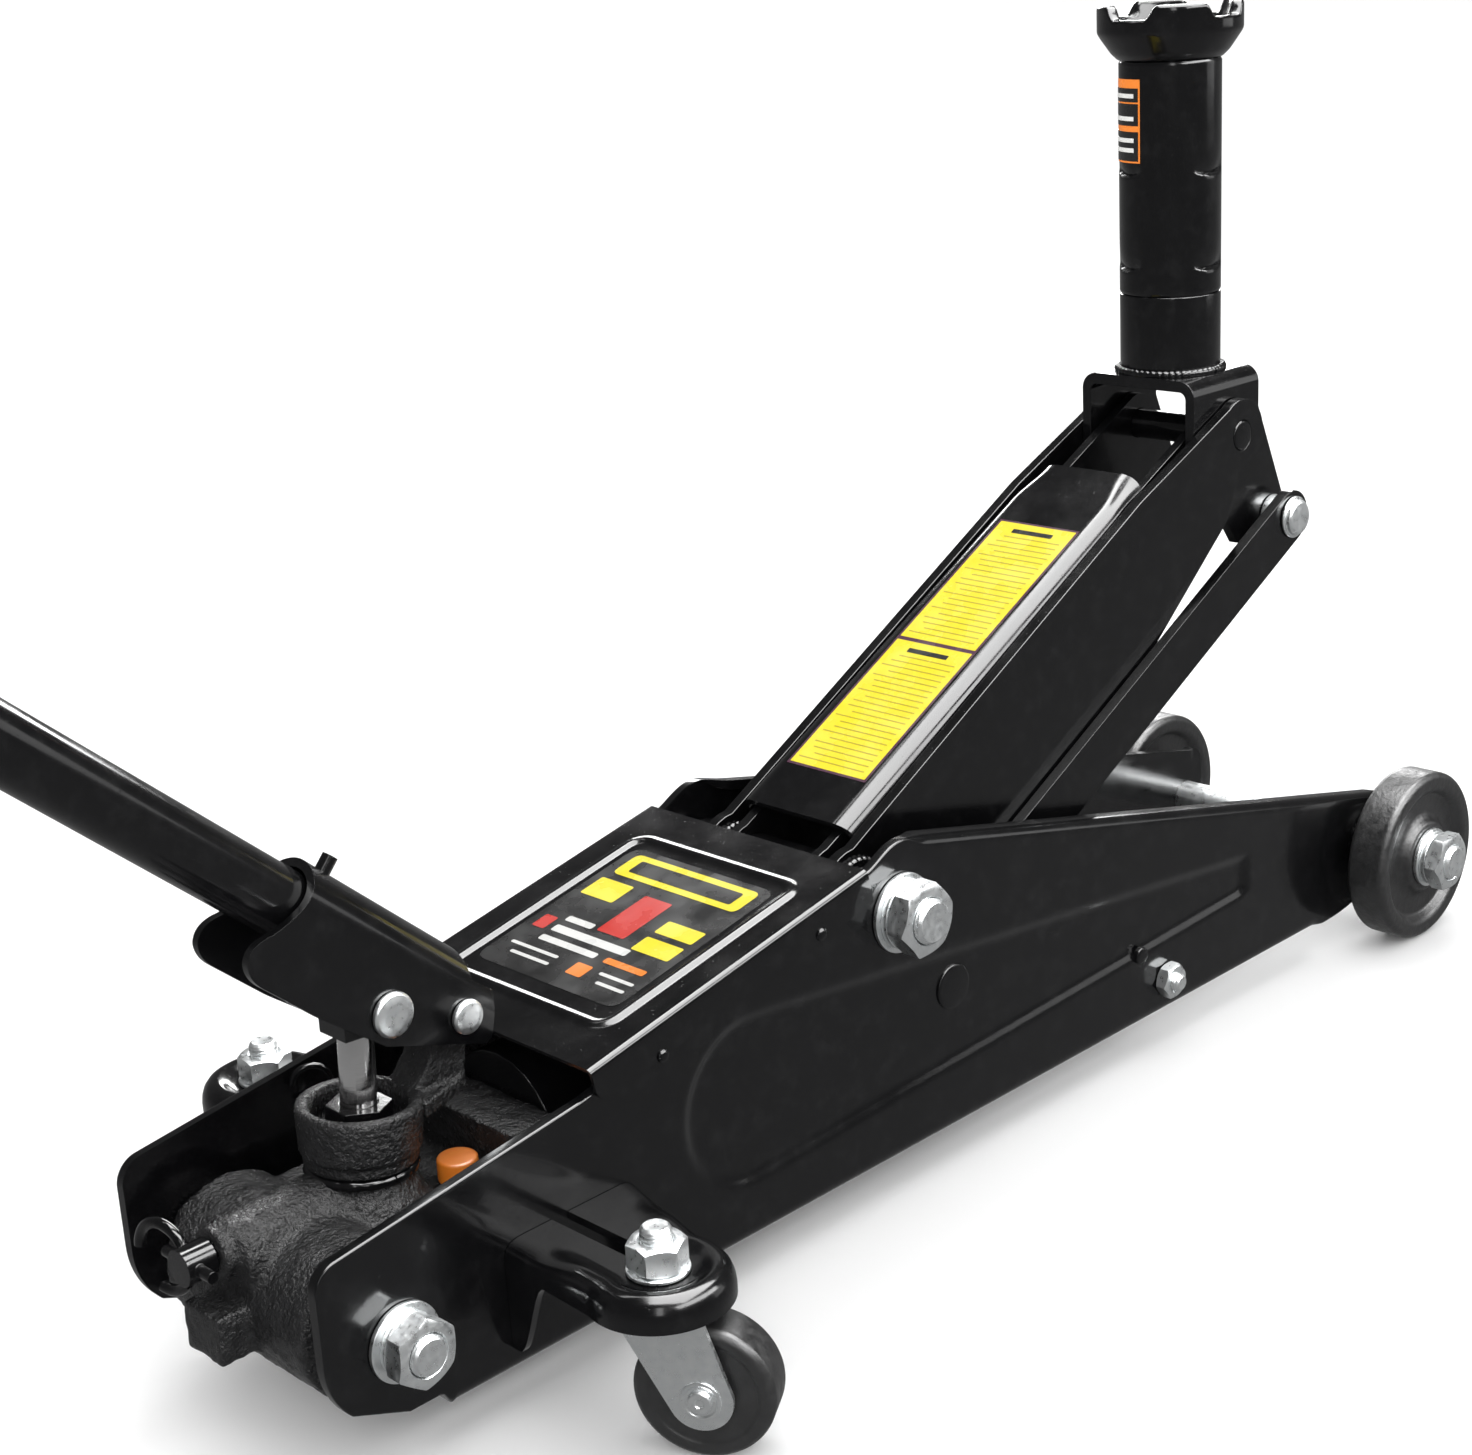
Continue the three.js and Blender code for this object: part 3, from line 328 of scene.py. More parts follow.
def gloss_paint():
    """Black enamel: orange peel, slow waves, faint dust and a clear coat."""
    f = Finish("gloss_black_enamel", (0.004, 0.004, 0.0045), 0.16)
    f.shader.inputs["Specular IOR Level"].default_value = 0.28
    f.shader.inputs["Coat Weight"].default_value = 0.12
    f.shader.inputs["Coat Roughness"].default_value = 0.05
    dust = f.noise(90, 6, 0.7)
    f.tint(f.spread(dust, 0.5, 0.8, 0, 1), (0.0032, 0.0032, 0.0036), (0.009, 0.009, 0.0095))
    f.vary("Roughness", f.spread(f.noise(35, 5, 0.6), 0.3, 0.75, 0.1, 0.26))
    f.bump(f.noise(14, 1), 0.0012, 0.35)
    f.bump(f.noise(260, 2), 0.00005, 0.5)
    f.bump(f.spread(f.noise(700, 1), 0.72, 0.8, 0, 1), 0.0001, 0.4)
    return "black_paint", f.material


def zinc_plate():
    """Bright zinc: mottled tone, fine drawn scratches and a soft shine."""
    f = Finish("bright_zinc", (0.68, 0.68, 0.65), 0.3, 1.0)
    f.tint(f.noise(220, 5, 0.65), (0.66, 0.69, 0.71), (0.86, 0.87, 0.86))
    f.vary("Roughness", f.spread(f.noise(300, 4, 0.6), 0.3, 0.7, 0.24, 0.4))
    f.bump(f.noise(1500, 3, 0.6, (1, 1, 0.2)), 0.00004, 0.5)
    f.bump(f.noise(90, 2), 0.0003, 0.25)
    return "zinc_plate", f.material


def chrome():
    """Ground chrome with faint marks round the rod."""
    f = Finish("ground_chrome", (0.72, 0.72, 0.72), 0.12, 1.0)
    f.tint(f.noise(60, 4), (0.6, 0.59, 0.58), (0.8, 0.8, 0.81))
    f.vary("Roughness", f.spread(f.noise(900, 3, 0.5, (0.1, 0.1, 1)), 0.3, 0.7, 0.08, 0.24))
    f.bump(f.noise(2500, 2, 0.5, (0.05, 0.05, 1)), 0.00002, 0.5)
    return "chrome_rod", f.material


def cast_iron():
    """Sand-cast iron under black paint: coarse and fine grain, and a shine that varies from place to place.
    """
    f = Finish("painted_casting", (0.009, 0.009, 0.009), 0.32)
    f.shader.inputs["Specular IOR Level"].default_value = 0.3
    f.tint(f.noise(200, 5, 0.7), (0.004, 0.004, 0.004), (0.02, 0.02, 0.021))
    f.vary("Roughness", f.spread(f.noise(260, 4, 0.6), 0.3, 0.7, 0.14, 0.3))
    f.bump(f.noise(130, 6, 0.7), 0.003, 0.8)
    f.bump(f.noise(560, 3, 0.6), 0.0012, 1.0)
    return "cast_iron_black", f.material


def cast_wheel():
    """Cast wheel: smoother than the pump body, with a pebbled face."""
    f = Finish("painted_wheel", (0.012, 0.012, 0.012), 0.36)
    f.tint(f.noise(150, 5, 0.65), (0.007, 0.007, 0.007), (0.022, 0.022, 0.023))
    f.vary("Roughness", f.spread(f.noise(200, 4, 0.6), 0.3, 0.7, 0.28, 0.5))
    f.bump(f.noise(330, 4, 0.6), 0.0006, 0.5)
    return "cast_wheel_black", f.material


def nylon():
    """Moulded nylon tread with faint mould texture."""
    f = Finish("black_nylon", (0.014, 0.014, 0.015), 0.38)
    f.tint(f.noise(120, 4), (0.009, 0.009, 0.009), (0.022, 0.022, 0.023))
    f.vary("Roughness", f.spread(f.noise(180, 4), 0.3, 0.7, 0.28, 0.5))
    f.bump(f.noise(800, 3), 0.0001, 0.6)
    return "nylon_black", f.material


def orange_plastic():
    """Orange moulded plug, a little uneven in tone."""
    f = Finish("orange_plastic", (0.8, 0.17, 0.012), 0.42)
    f.tint(f.noise(140, 4), (0.92, 0.2, 0.008), (1.0, 0.3, 0.02))
    f.bump(f.noise(700, 3), 0.0001, 0.5)
    return "orange_plug", f.material


def spring_wire():
    """Oil-blacked wire."""
    f = Finish("spring_wire", (0.03, 0.03, 0.032), 0.35, 0.8)
    f.tint(f.noise(400, 4), (0.015, 0.015, 0.016), (0.07, 0.07, 0.07))
    f.bump(f.noise(1200, 3), 0.00005, 0.5)
    return "spring_steel", f.material


def grip_rubber():
    """Matt rubber with a fine stipple."""
    f = Finish("grip_rubber", (0.012, 0.012, 0.012), 0.75)
    f.tint(f.noise(100, 4), (0.008, 0.008, 0.008), (0.024, 0.024, 0.024))
    f.bump(f.noise(1400, 3), 0.0003, 0.6)
    return "grip_rubber", f.material


def printed(name, colour):
    """Printed vinyl film: one ink, slightly mottled, under a soft gloss."""
    f = Finish("film_" + name, colour, 0.3)
    darker = tuple(0.86 * part for part in colour)
    f.tint(f.noise(220, 4), darker, colour)
    f.vary("Roughness", f.spread(f.noise(60, 3), 0.3, 0.7, 0.2, 0.36))
    f.bump(f.noise(300, 2), 0.00004, 0.4)
    return "black_paint", f.material


PAINT = gloss_paint()
ZINC = zinc_plate()
CHROME = chrome()
CAST = cast_iron()
WHEEL = cast_wheel()
NYLON = nylon()
ORANGE = orange_plastic()
WIRE = spring_wire()
RUBBER = grip_rubber()
INK = {
    "yellow": printed("yellow", (0.9, 0.74, 0.02)),
    "black": printed("black", (0.012, 0.012, 0.012)),
    "orange": printed("orange", (0.9, 0.24, 0.02)),
    "white": printed("white", (0.75, 0.75, 0.73)),
    "red": printed("red", (0.6, 0.03, 0.02)),
    "olive": printed("olive", (0.5, 0.4, 0.03)),
    "border": printed("border", (0.09, 0.03, 0.06)),
}
print("finishes:", len(bpy.data.materials))

# %% [markdown]
# ## Side plates
# A side plate is one pressed sheet. It is drawn here as its own cross-section, carried along the jack:
# a folded lip at the bottom, the flat web with its pressed channel, and a folded flange on top.
# The fold widths, the bend radii and the edges' heights all change along the length.

# %% The plate's edges
SHEET = 5.0
HALF = 71.0
LENGTH = 771.0
LOW_END = 25.5
LOW_LIP = 18.0
CORNER = 38.0
FRONT_TOP = 79.0
FLANGE_X = 343.0
FLANGE_Z = 178.0
REAR_TOP = (10, 105.5)
KNEE_TOP = (140, 123.6)
RISE_TOP = (320, 169.6)
REAR_ROUND = 10
NOSE_ROUND = 8
LIP_WIDTH = 14.0
FLANGE_WIDTH = 11.0
PRESSED = 2.4
REAR_SWEEP = np.pi * 29 * 60 / (2 * 59 * 59)


def smooth(x, start, end):
    """0 before start, 1 after end, an S between them."""
    t = np.clip((x - start) / (end - start), 0, 1)
    return t * t * (3 - 2 * t)


def line_through(x, start, end):
    """Height at x of the straight line through two (x, z) points."""
    return start[1] + (x - start[0]) * (end[1] - start[1]) / (end[0] - start[0])


def plate_top(x):
    """Round rear corner, a rising line, an S-shaped rise, a falling line and a round nose."""
    nose_start = LENGTH - NOSE_ROUND
    rising = line_through(x, REAR_TOP, KNEE_TOP)
    under = line_through(x, KNEE_TOP, RISE_TOP)
    body = np.where(x < KNEE_TOP[0], rising, under)
    falling = line_through(x, (FLANGE_X, FLANGE_Z), (nose_start, FRONT_TOP))
    body = body + (falling - body) * smooth(x, 316, 352)
    rear = np.clip(REAR_ROUND - x, 0, REAR_ROUND)
    nose = np.clip(x - nose_start, 0, NOSE_ROUND)
    rear_drop = REAR_ROUND - np.sqrt(REAR_ROUND ** 2 - rear ** 2)
    nose_drop = NOSE_ROUND - np.sqrt(NOSE_ROUND ** 2 - nose ** 2)
    return body - rear_drop - nose_drop


def plate_low(x):
    """Round rear corner, then the lip's line, then a round front corner."""
    rear = np.clip(CORNER - x, 0, CORNER)
    low = LOW_END + (CORNER - np.sqrt(CORNER ** 2 - rear ** 2))
    low = low + (LOW_LIP - low) * smooth(x, 54, 60)
    front = np.clip(x - (LENGTH - 29 - 45), 0, 74) / 74
    return low + 31 * (1 - np.sqrt(1 - front ** 2))


print("plate:", LENGTH, "mm long, flange at", FLANGE_Z, "mm")

# %% The pressed channel


def channel_outline(steps=24):
    """Half-round at the rear, tapering lines to a small round-cornered front end."""
    arc = np.linspace(0.46 * np.pi, 1.5 * np.pi, steps)
    rear = np.stack([236 + 42 * np.cos(arc), 86.5 + 42 * np.sin(arc)], axis=1)
    front = rounded([[616, 44], [622, 60], [622, 86], [560, 92.5]], 7, 4, closed=False)[1:-1]
    line_low = np.linspace([236, 44.5], [614, 60], 30)
    line_top = np.linspace([614, 86], [242, 128.4], 30)
    return np.vstack([rear, line_low[1:], front[3:-2], line_top[:-1]])


def depth_inside(x, z, outline):
    """Distance from each point to a closed outline, positive inside."""
    points = np.stack([x.ravel(), z.ravel()], axis=1)
    best = np.full(len(points), 1e9)
    inside = np.zeros(len(points), bool)
    for start, end in zip(outline, np.roll(outline, -1, axis=0)):
        edge = end - start
        share = np.clip(((points - start) @ edge) / (edge @ edge), 0, 1)
        best = np.minimum(best, np.linalg.norm(points - start - share[:, None] * edge, axis=1))
        crosses = (start[1] > points[:, 1]) != (end[1] > points[:, 1])
        slope = edge[0] / (edge[1] if edge[1] else 1e-9)
        inside ^= crosses & (points[:, 0] < start[0] + (points[:, 1] - start[1]) * slope)
    return np.where(inside, best, -best).reshape(x.shape)


CHANNEL = channel_outline()
print("channel outline:", len(CHANNEL), "points")

# %% A plate as a carried section


def sheet_of(outer, inner):
    """An outer and an inner face of points joined round their edges into one closed sheet."""
    shell = grid(np.concatenate([outer, inner[:, ::-1]], axis=1), wrap_v=True)
    return joined(shell, *[grid(np.stack([outer[k], inner[k]])) for k in (0, -1)])


def side_plate(side, stations=330, web=84):
    """For each x, a closed section: out along lip, web and flange, and back one sheet further in."""
    rear = CORNER * (1 - np.cos(np.linspace(0, REAR_SWEEP, 30)))
    middle = np.linspace(CORNER, LENGTH - 30, stations)
    nose = LENGTH - 30 * (1 - np.sin(np.linspace(0, np.pi / 2, 26)))
    x = np.unique(np.round(np.concatenate([rear, middle, nose]), 4))
    top, low = plate_top(x), plate_low(x)
    lip = smooth(x, 56, 62) * (1 - smooth(x, 688, 697))
    flange = smooth(x, 343, 358) * (1 - smooth(x, LENGTH - 18, LENGTH - 10))
    bend = np.linspace(0, np.pi / 2, 7)

    def fold(width, share, sign, edge_z):
        """A fold from its tip to the web: inset and z for the outer and the inner surface."""
        radius = 1.2 + 4.6 * share
        reach = SHEET + (width - SHEET) * share
        sheet = 0.7 + (SHEET - 0.7) * share
        inner = 0.02 + 1.0 * share
        outer_y = [reach] + [radius * (1 - math.sin(a)) for a in bend]
        outer_z = [edge_z] + [edge_z + sign * radius * (1 - math.cos(a)) for a in bend]
        inner_y = [reach] + [SHEET + inner * (1 - math.sin(a)) for a in bend]
        inner_z = [edge_z + sign * sheet]
        inner_z += [edge_z + sign * (sheet + inner * (1 - math.cos(a))) for a in bend]
        outer_fold = [np.stack(np.broadcast_arrays(*rows), axis=1) for rows in (outer_y, outer_z)]
        inner_fold = [np.stack(np.broadcast_arrays(*rows), axis=1) for rows in (inner_y, inner_z)]
        return outer_fold, inner_fold

    def face(low_fold, top_fold, inset):
        """One face of the sheet: low fold, straight web, top fold, pressed in where the channel is."""
        share = np.linspace(0, 1, web)[None, 1:-1]
        low_y, low_z = low_fold
        top_y, top_z = top_fold
        web_z = low_z[:, -1:] * (1 - share) + top_z[:, -1:] * share
        z = np.hstack([low_z, web_z, top_z[:, ::-1]])
        y = np.hstack([low_y, np.full_like(web_z, inset), top_y[:, ::-1]])
        along = np.repeat(x[:, None], z.shape[1], axis=1)
        pressed = PRESSED * smooth(depth_inside(along, z, CHANNEL), -1.0, 7.0)
        return np.stack([along * MM + REAR, side * (HALF - y - pressed) * MM, z * MM], axis=-1)

    lip_outer, lip_inner = fold(LIP_WIDTH, lip, 1, low)
    flange_outer, flange_inner = fold(FLANGE_WIDTH, flange, -1, top)
    return sheet_of(face(lip_outer, flange_outer, 0), face(lip_inner, flange_inner, SHEET))


for where, side in SIDES.items():
    plate = make(f"pressed_plate_{where}", side_plate(side), "frame", PAINT, [f"side_plate_{where}"], 50)
    print(plate.name, len(plate.data.polygons), "faces")

# %% [markdown]
# ## Cover plate
# The cover is a shallow pressed lid: its sides fold down over the plates, and a rounded frame is
# embossed round the label. One grid again, with the embossing as a height added to the flat top.

# %% Cover
COVER_REAR = np.array([142.5, 137.3])
COVER_FRONT = np.array([314.2, 172.4])
COVER_HALF = 73.1
COVER_DROP = 1.1
EMBOSSED = 1.5


def box_distance(x, y, half_x, half_y, radius):
    """Distance outside a round-cornered box centred on the origin; negative inside."""
    qx = np.abs(x) - half_x + radius
    qy = np.abs(y) - half_y + radius
    outside = np.hypot(np.maximum(qx, 0), np.maximum(qy, 0))
    return outside + np.minimum(np.maximum(qx, qy), 0) - radius


def cover():
    """u runs up the slope; v runs from one skirt's edge over the top to the other."""
    run = COVER_FRONT - COVER_REAR
    length = float(np.hypot(*run))
    along = run / length
    up = np.array([-along[1], along[0]])
    u = np.linspace(0, length, 150)
    radius, sheet, skirt = 3.0, 1.7, 16.9
    drop = skirt - 6 * (1 - np.sqrt(np.clip(1 - (np.clip(8 - u, 0, 8) / 8) ** 2, 0, 1)))
    s = np.linspace(0, 1, 8)[None, :-1]
    bend = np.linspace(0, np.pi / 2, 7)
    half = np.linspace(COVER_HALF - radius, -COVER_HALF + radius, 130)[1:-1]

    def section(inset, bend_r):
        """y and height of skirt, bend, flat, bend and skirt at each u."""
        y_edge = COVER_HALF - inset
        side_z = -drop[:, None] * (1 - s) - radius * s
        side_y = np.full_like(side_z, y_edge)
        arc_y = y_edge - bend_r * (1 - np.cos(bend))
        arc_z = -radius + bend_r * np.sin(bend)
        flat_z = np.full(len(half), -radius + bend_r)
        rows_y = np.concatenate([arc_y, half * (y_edge - bend_r) / (COVER_HALF - radius), -arc_y[::-1]])
        rows_z = np.concatenate([arc_z, flat_z, arc_z[::-1]])
        y = np.hstack([side_y, np.tile(rows_y, (len(u), 1)), -side_y[:, ::-1]])
        z = np.hstack([side_z, np.tile(rows_z, (len(u), 1)), side_z[:, ::-1]])
        return y, z

    def face(inset, bend_r):
        """A section at each u with the frame's height added, turned to the slope."""
        y, z = section(inset, bend_r)
        u_grid = np.repeat(u[:, None], y.shape[1], axis=1)
        ring = box_distance(u_grid - length * 0.5, y, 66, 57, 12)
        raised = smooth(ring, -7, -4.5) * (1 - smooth(ring, -3, 0))
        top = np.abs(y) < COVER_HALF - 6
        z = z + np.where(top, EMBOSSED * raised, 0) - COVER_DROP
        x = COVER_REAR[0] + u_grid * along[0] + z * up[0]
        h = COVER_REAR[1] + u_grid * along[1] + z * up[1]
        return np.stack([x * MM + REAR, y * MM, h * MM], axis=-1)

    return sheet_of(face(0, radius), face(sheet, radius - sheet)), along, up


cover_shape, SLOPE, NORMAL = cover()
make("pressed_cover", cover_shape, "frame", PAINT, ["cover_plate"], 45)
print("cover on the frame")

# %% Cover screws and plate rivets
SCREW = rounded([[0, -2], [3.1, -2], [3.1, 0.8], [1.8, 1.7], [0, 1.9]], 0.4, 3, closed=False)
RIVET = rounded([[0, -1], [4.6, -1], [4.6, 1.6], [3.6, 2.2], [0, 2.3]], 0.4, 3, closed=False)
SCREW_SPOTS = ((183, 128.3), (282.5, 150.8))
RIVET_SPOT = (522, 58)


def on_side(x, side, y, z):
    """A point of the frame: x from the plates' rear end, y out to one side, z up, in millimetres."""
    return np.array([x * MM + REAR, side * y * MM, z * MM])


for where, side in SIDES.items():
    out = (0, side, 0)
    for index, (x, z) in enumerate(SCREW_SPOTS):
        screw = turned(SCREW, on_side(x, side, COVER_HALF, z), out, 24, closed=False)
        make(f"cover_screw_{where}_{index}", screw, "frame", PAINT)
    rivet = turned(RIVET, on_side(RIVET_SPOT[0], side, HALF, RIVET_SPOT[1]), out, 32, closed=False)
    make(f"plate_rivet_{where}", rivet, "frame", PAINT)
print("screws and rivets in")

# %% [markdown]
# ## Fasteners
# A washer, a spring washer, a chamfered nut and a threaded end are four turned shells. A nut's outline
# is a turned one whose radius follows a hexagon, with its corners cut back as a chamfering tool does.

# %% Nuts, washers and threaded ends


def nut(centre, direction, flats, height, bore, start=0.0, turn=0.2):
    """Radius = inradius / cos of the angle from the nearest flat; corners drop back at both faces."""
    def bump(t, r, h):
        off = (t + turn + np.pi / 6) % (np.pi / 3) - np.pi / 6
        flat = flats / 2 / np.cos(off)
        corner = 0.62 * (flat - flats / 2)
        outside = r > bore + 0.2
        wall = np.where(outside, np.minimum(flat, r), r)
        middle = start + height / 2
        cut = np.where(np.abs(r - flats) < 1e-6, corner + 0.25, 0)
        return wall, h + np.where(h > middle, -cut, cut)
    face = flats / 2 * 0.95
    profile = [[bore, start], [face, start], [flats, start + 0.02], [flats, start + 0.4],
               [flats, start + height - 0.4], [flats, start + height - 0.02], [face, start + height],
               [bore + 0.9, start + height], [bore, start + height - 0.9], [bore, start + 0.9]]
    return turned(profile, centre, direction, 96, bump=bump)


def washer(centre, direction, outer, inner, start, thick):
    """A flat ring with eased edges, starting a height out from its centre."""
    corners = [[inner, start], [outer, start], [outer, start + thick], [inner, start + thick]]
    return turned(rounded(corners, 0.6, 3), centre, direction, 64)


def threaded(centre, direction, radius, start, length, pitch=1.75):
    """A rod whose radius rises and falls once a pitch, with a chamfered end."""
    h = np.arange(start, start + length - 1.2, pitch / 6)
    r = radius - 0.28 - 0.28 * np.cos(2 * np.pi * (h - start) / pitch)
    body = np.stack([r, h], axis=1)
    end = start + length
    cap = [[radius - 0.7, end - 0.8], [radius - 1.6, end], [radius * 0.4, end - 0.15], [0, end - 0.2]]
    return turned(np.vstack([[[0, start]], body, cap]), centre, direction, 48, closed=False)


def stack(name, node, at, side, y, radius, flats, washer_r, nut_h, extra, turn):
    """Washer, spring washer, nut and threaded end on one side of the frame."""
    centre = np.array([at[0], side * y * MM, at[2]])
    out = (0, side, 0)
    shape = joined(
        washer(centre, out, washer_r, radius - 0.2, 0, 2.4),
        washer(centre, out, radius * 1.52, radius - 0.2, 2.5, 3.4),
        nut(centre, out, flats, nut_h, radius - 0.1, 6, turn),
        threaded(centre, out, radius - 0.15, 3, 3 + nut_h + extra))
    return make(name, shape, "frame", ZINC, [node], 30)


print("fastener makers ready")

# %% Nuts on the frame


def centre_of(node):
    """The middle of a node's box, in metres."""
    low, high = (np.array(corner, float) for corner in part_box(node))
    return (low + high) / 2


BOLT = centre_of("rear_bolt_near")
AXLE = centre_of("front_axle")
TIE = centre_of("tie_rod")
PLATE_FACE = 71.3
AXLE_FACE = 103.6
for where, side in SIDES.items():
    stack(f"shaft_nut_{where}_set", f"shaft_nut_{where}", ARM, side, PLATE_FACE, radius=11, flats=32,
          washer_r=19.2, nut_h=12, extra=3.5, turn=0.35)
    stack(f"rear_nut_{where}_set", f"rear_bolt_{where}", BOLT, side, PLATE_FACE, radius=9, flats=27,
          washer_r=17, nut_h=10.5, extra=2, turn=0.1)
    stack(f"axle_nut_{where}_set", f"axle_nut_{where}", AXLE, side, AXLE_FACE, radius=10, flats=30,
          washer_r=17, nut_h=9.5, extra=2, turn=0.5)
tie_shapes = []
for side in SIDES.values():
    spot = np.array([TIE[0], side * PLATE_FACE * MM, TIE[2]])
    tie_shapes += [nut(spot, (0, side, 0), 17, 7, 4.9, 0, 0.4),
                   threaded(spot, (0, side, 0), 5, 0.5, 10.4, 1.5)]
tie_shapes.append(turned(rounded([[0, -71], [5, -71], [5, 71], [0, 71]], 0.5, 2, closed=False),
                         np.array([TIE[0], 0, TIE[2]]), (0, 1, 0), 40, closed=False))
make("tie_rod_set", joined(*tie_shapes), "frame", ZINC, ["tie_rod"], 30)
axle_profile = rounded([[0, -103.3], [10.5, -103.3], [10.5, 103.3], [0, 103.3]], 0.8, 3, closed=False)
make("axle_bar", turned(axle_profile, AXLE, (0, 1, 0), 72, closed=False), "frame", ZINC, ["front_axle"])
print("fasteners on both sides")

# %% [markdown]
# ## Wheels
# The front wheels are turned castings: a broad tread, a dished face with a raised hub, and a rough
# skin. The rear ones are plain nylon rollers in a pressed fork.

# %% Front wheels and casters


def mirrored(half):
    """A half profile of [r, h] and its mirror image in h, as one list."""
    return half + [[r, -h] for r, h in half[::-1]]


WHEEL_FACE = mirrored([[10.7, -12], [20, -12], [22, -8.6], [25, -6.4], [36, -6.4], [39, -10.8],
                       [41, -12], [46.6, -12], [49, -9.6]])
ROLLER_FACE = mirrored([[5.2, -11], [9, -11], [10, -10], [22, -10], [23.5, -11], [27, -11], [29.5, -8.6]])
FORK_RIVET = rounded([[0, 14.6], [8.6, 14.6], [8.6, 15.9], [7.4, 16.2], [6.6, 15.7], [5.2, 15.7],
                      [5.2, 17.2], [4.4, 17.9], [2.2, 17.7], [1.6, 17.0], [0, 17.0]], 0.25, 2, closed=False)
for where, side in SIDES.items():
    hub = at_joint(f"front_wheel_{where}_spin")
    make(f"cast_wheel_{where}", turned(rounded(WHEEL_FACE, 1.6, 4), hub, (0, side, 0), 112),
         f"front_wheel_{where}", WHEEL, [f"front_wheel_{where}"], 60)
    wheel_at = at_joint(f"caster_wheel_{where}_spin")
    wheel_axis = np.array(JOINTS[f"caster_wheel_{where}_spin"]["axis"], float)
    make(f"caster_roller_{where}", turned(rounded(ROLLER_FACE, 1.3, 4), wheel_at, wheel_axis, 88),
         f"caster_wheel_{where}", NYLON, [f"caster_wheel_{where}"], 60)
    dressed(f"caster_fork_{where}", f"caster_{where}", ZINC, 0.5, 2)
    heads = [turned(FORK_RIVET, wheel_at, sign * wheel_axis, 48, closed=False) for sign in (-1, 1)]
    make(f"caster_rivet_{where}", joined(*heads), f"caster_{where}", ZINC, sharp=30)
    stud = at_joint(f"caster_{where}_swivel")
    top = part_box(f"caster_bracket_{where}")[1][2] / MM - stud[2] / MM
    nuts = joined(
        washer(stud, (0, 0, 1), 13.2, 6.9, top + 0.3, 1.6),
        nut(stud, (0, 0, 1), 22, 12, 6.8, top + 1.9, 0.6),
        threaded(stud, (0, 0, 1), 6.7, top + 8, 12, 1.5))
    make(f"caster_nut_{where}_set", nuts, f"caster_{where}", ZINC, [f"caster_nut_{where}"], 30)
print("wheels and casters")

# %% Caster brackets
# Reach in from the outline, then height above the top where the rim is rolled and where it is plain.
ROLLED_RIM = ((-17, 0, 0), (-14.5, 0.2, 0), (-12.5, 1.2, 0), (-10.5, 2.4, 0), (-8, 3, -0.1),
              (-5.5, 2.6, -0.5), (-3.2, 1.2, -1.3), (-1.4, -1.2, -2.8), (-0.4, -4, -5), (0, -7, -7))
BRACKET_TOP = 78.0
FRONT_FOOT = 164
REAR_FOOT = 91


def cap_of(loop):
    """A closed loop filled with a fan of quads about its middle."""
    middle = np.repeat(loop.mean(axis=0)[None], len(loop), axis=0)
    return grid(np.stack([loop, middle]), wrap_v=True)


def caster_bracket(side):
    """A pressed shell: (u) round its outline and (v) over the rolled rim and down the skirt.

    The top is a flat inside a raised roll; the skirt's lower edge drops towards the side plate."""
    centre_x, centre_y, dome = 118.0, 135.0, 31.0
    turn = np.linspace(0.07 * np.pi, -1.1 * np.pi, 70)
    arc = np.stack([centre_x + dome * np.cos(turn), centre_y - dome * np.sin(turn)], axis=1)
    front = np.linspace([FRONT_FOOT, PLATE_FACE], arc[0], 26)[:-1]
    rear = np.linspace(arc[-1], [REAR_FOOT, PLATE_FACE], 26)[1:]
    path = np.vstack([front, arc, rear])
    step = np.gradient(path, axis=0)
    step /= np.linalg.norm(step, axis=1)[:, None]
    out = np.stack([step[:, 1], -step[:, 0]], axis=1)
    out *= np.sign(np.sum(out * (path - np.array([centre_x, centre_y - 12])), axis=1))[:, None]
    square = np.stack([np.sign(out[:, 0]), 0 * out[:, 0]], axis=1)
    from_plate = path[:, 1] - PLATE_FACE
    out = square + (out - square) * smooth(from_plate, 8, 54)[:, None]
    out /= np.linalg.norm(out, axis=1)[:, None]
    spine = np.stack([np.clip(path[:, 0], centre_x - 1, centre_x + 8),
                      np.minimum(path[:, 1], centre_y)], axis=1)
    low = 30 + 37 * smooth(from_plate, 5, 25)
    roll = smooth(from_plate, 16, 44)
    rows = [np.column_stack([spine, np.full(len(path), BRACKET_TOP)])]
    for reach, rise, flat in ROLLED_RIM:
        rows.append(np.column_stack([path + reach * out, BRACKET_TOP + flat + (rise - flat) * roll]))
    for share in (0.35, 0.7, 1.0):
        rows.append(np.column_stack([path, 71 + (low - 71) * share]))
    for share in (1.0, 0.5, 0.0):
        rows.append(np.column_stack([path - 3.2 * out, 69.5 + (low - 69.5) * share]))
    for reach, rise in ((-4.2, -5), (-7, -1.4), (-10.5, -1.2), (-14, -2.8), (-17, -3.4)):
        rows.append(np.column_stack([path + reach * out, np.full(len(path), BRACKET_TOP + rise)]))
    rows.append(np.column_stack([spine, np.full(len(path), 74.4)]))
    points = np.stack(rows, axis=1)
    points[..., 0] = points[..., 0] * MM + REAR
    points[..., 1] = side * np.maximum(points[..., 1], PLATE_FACE) * MM
    points[..., 2] *= MM
    return joined(grid(points, wrap_v=True), *[cap_of(points[k]) for k in (0, -1)])


for where, side in SIDES.items():
    make(f"caster_bracket_{where}_pressed", caster_bracket(side), "frame", PAINT,
         [f"caster_bracket_{where}"], 60)
print("caster brackets pressed")

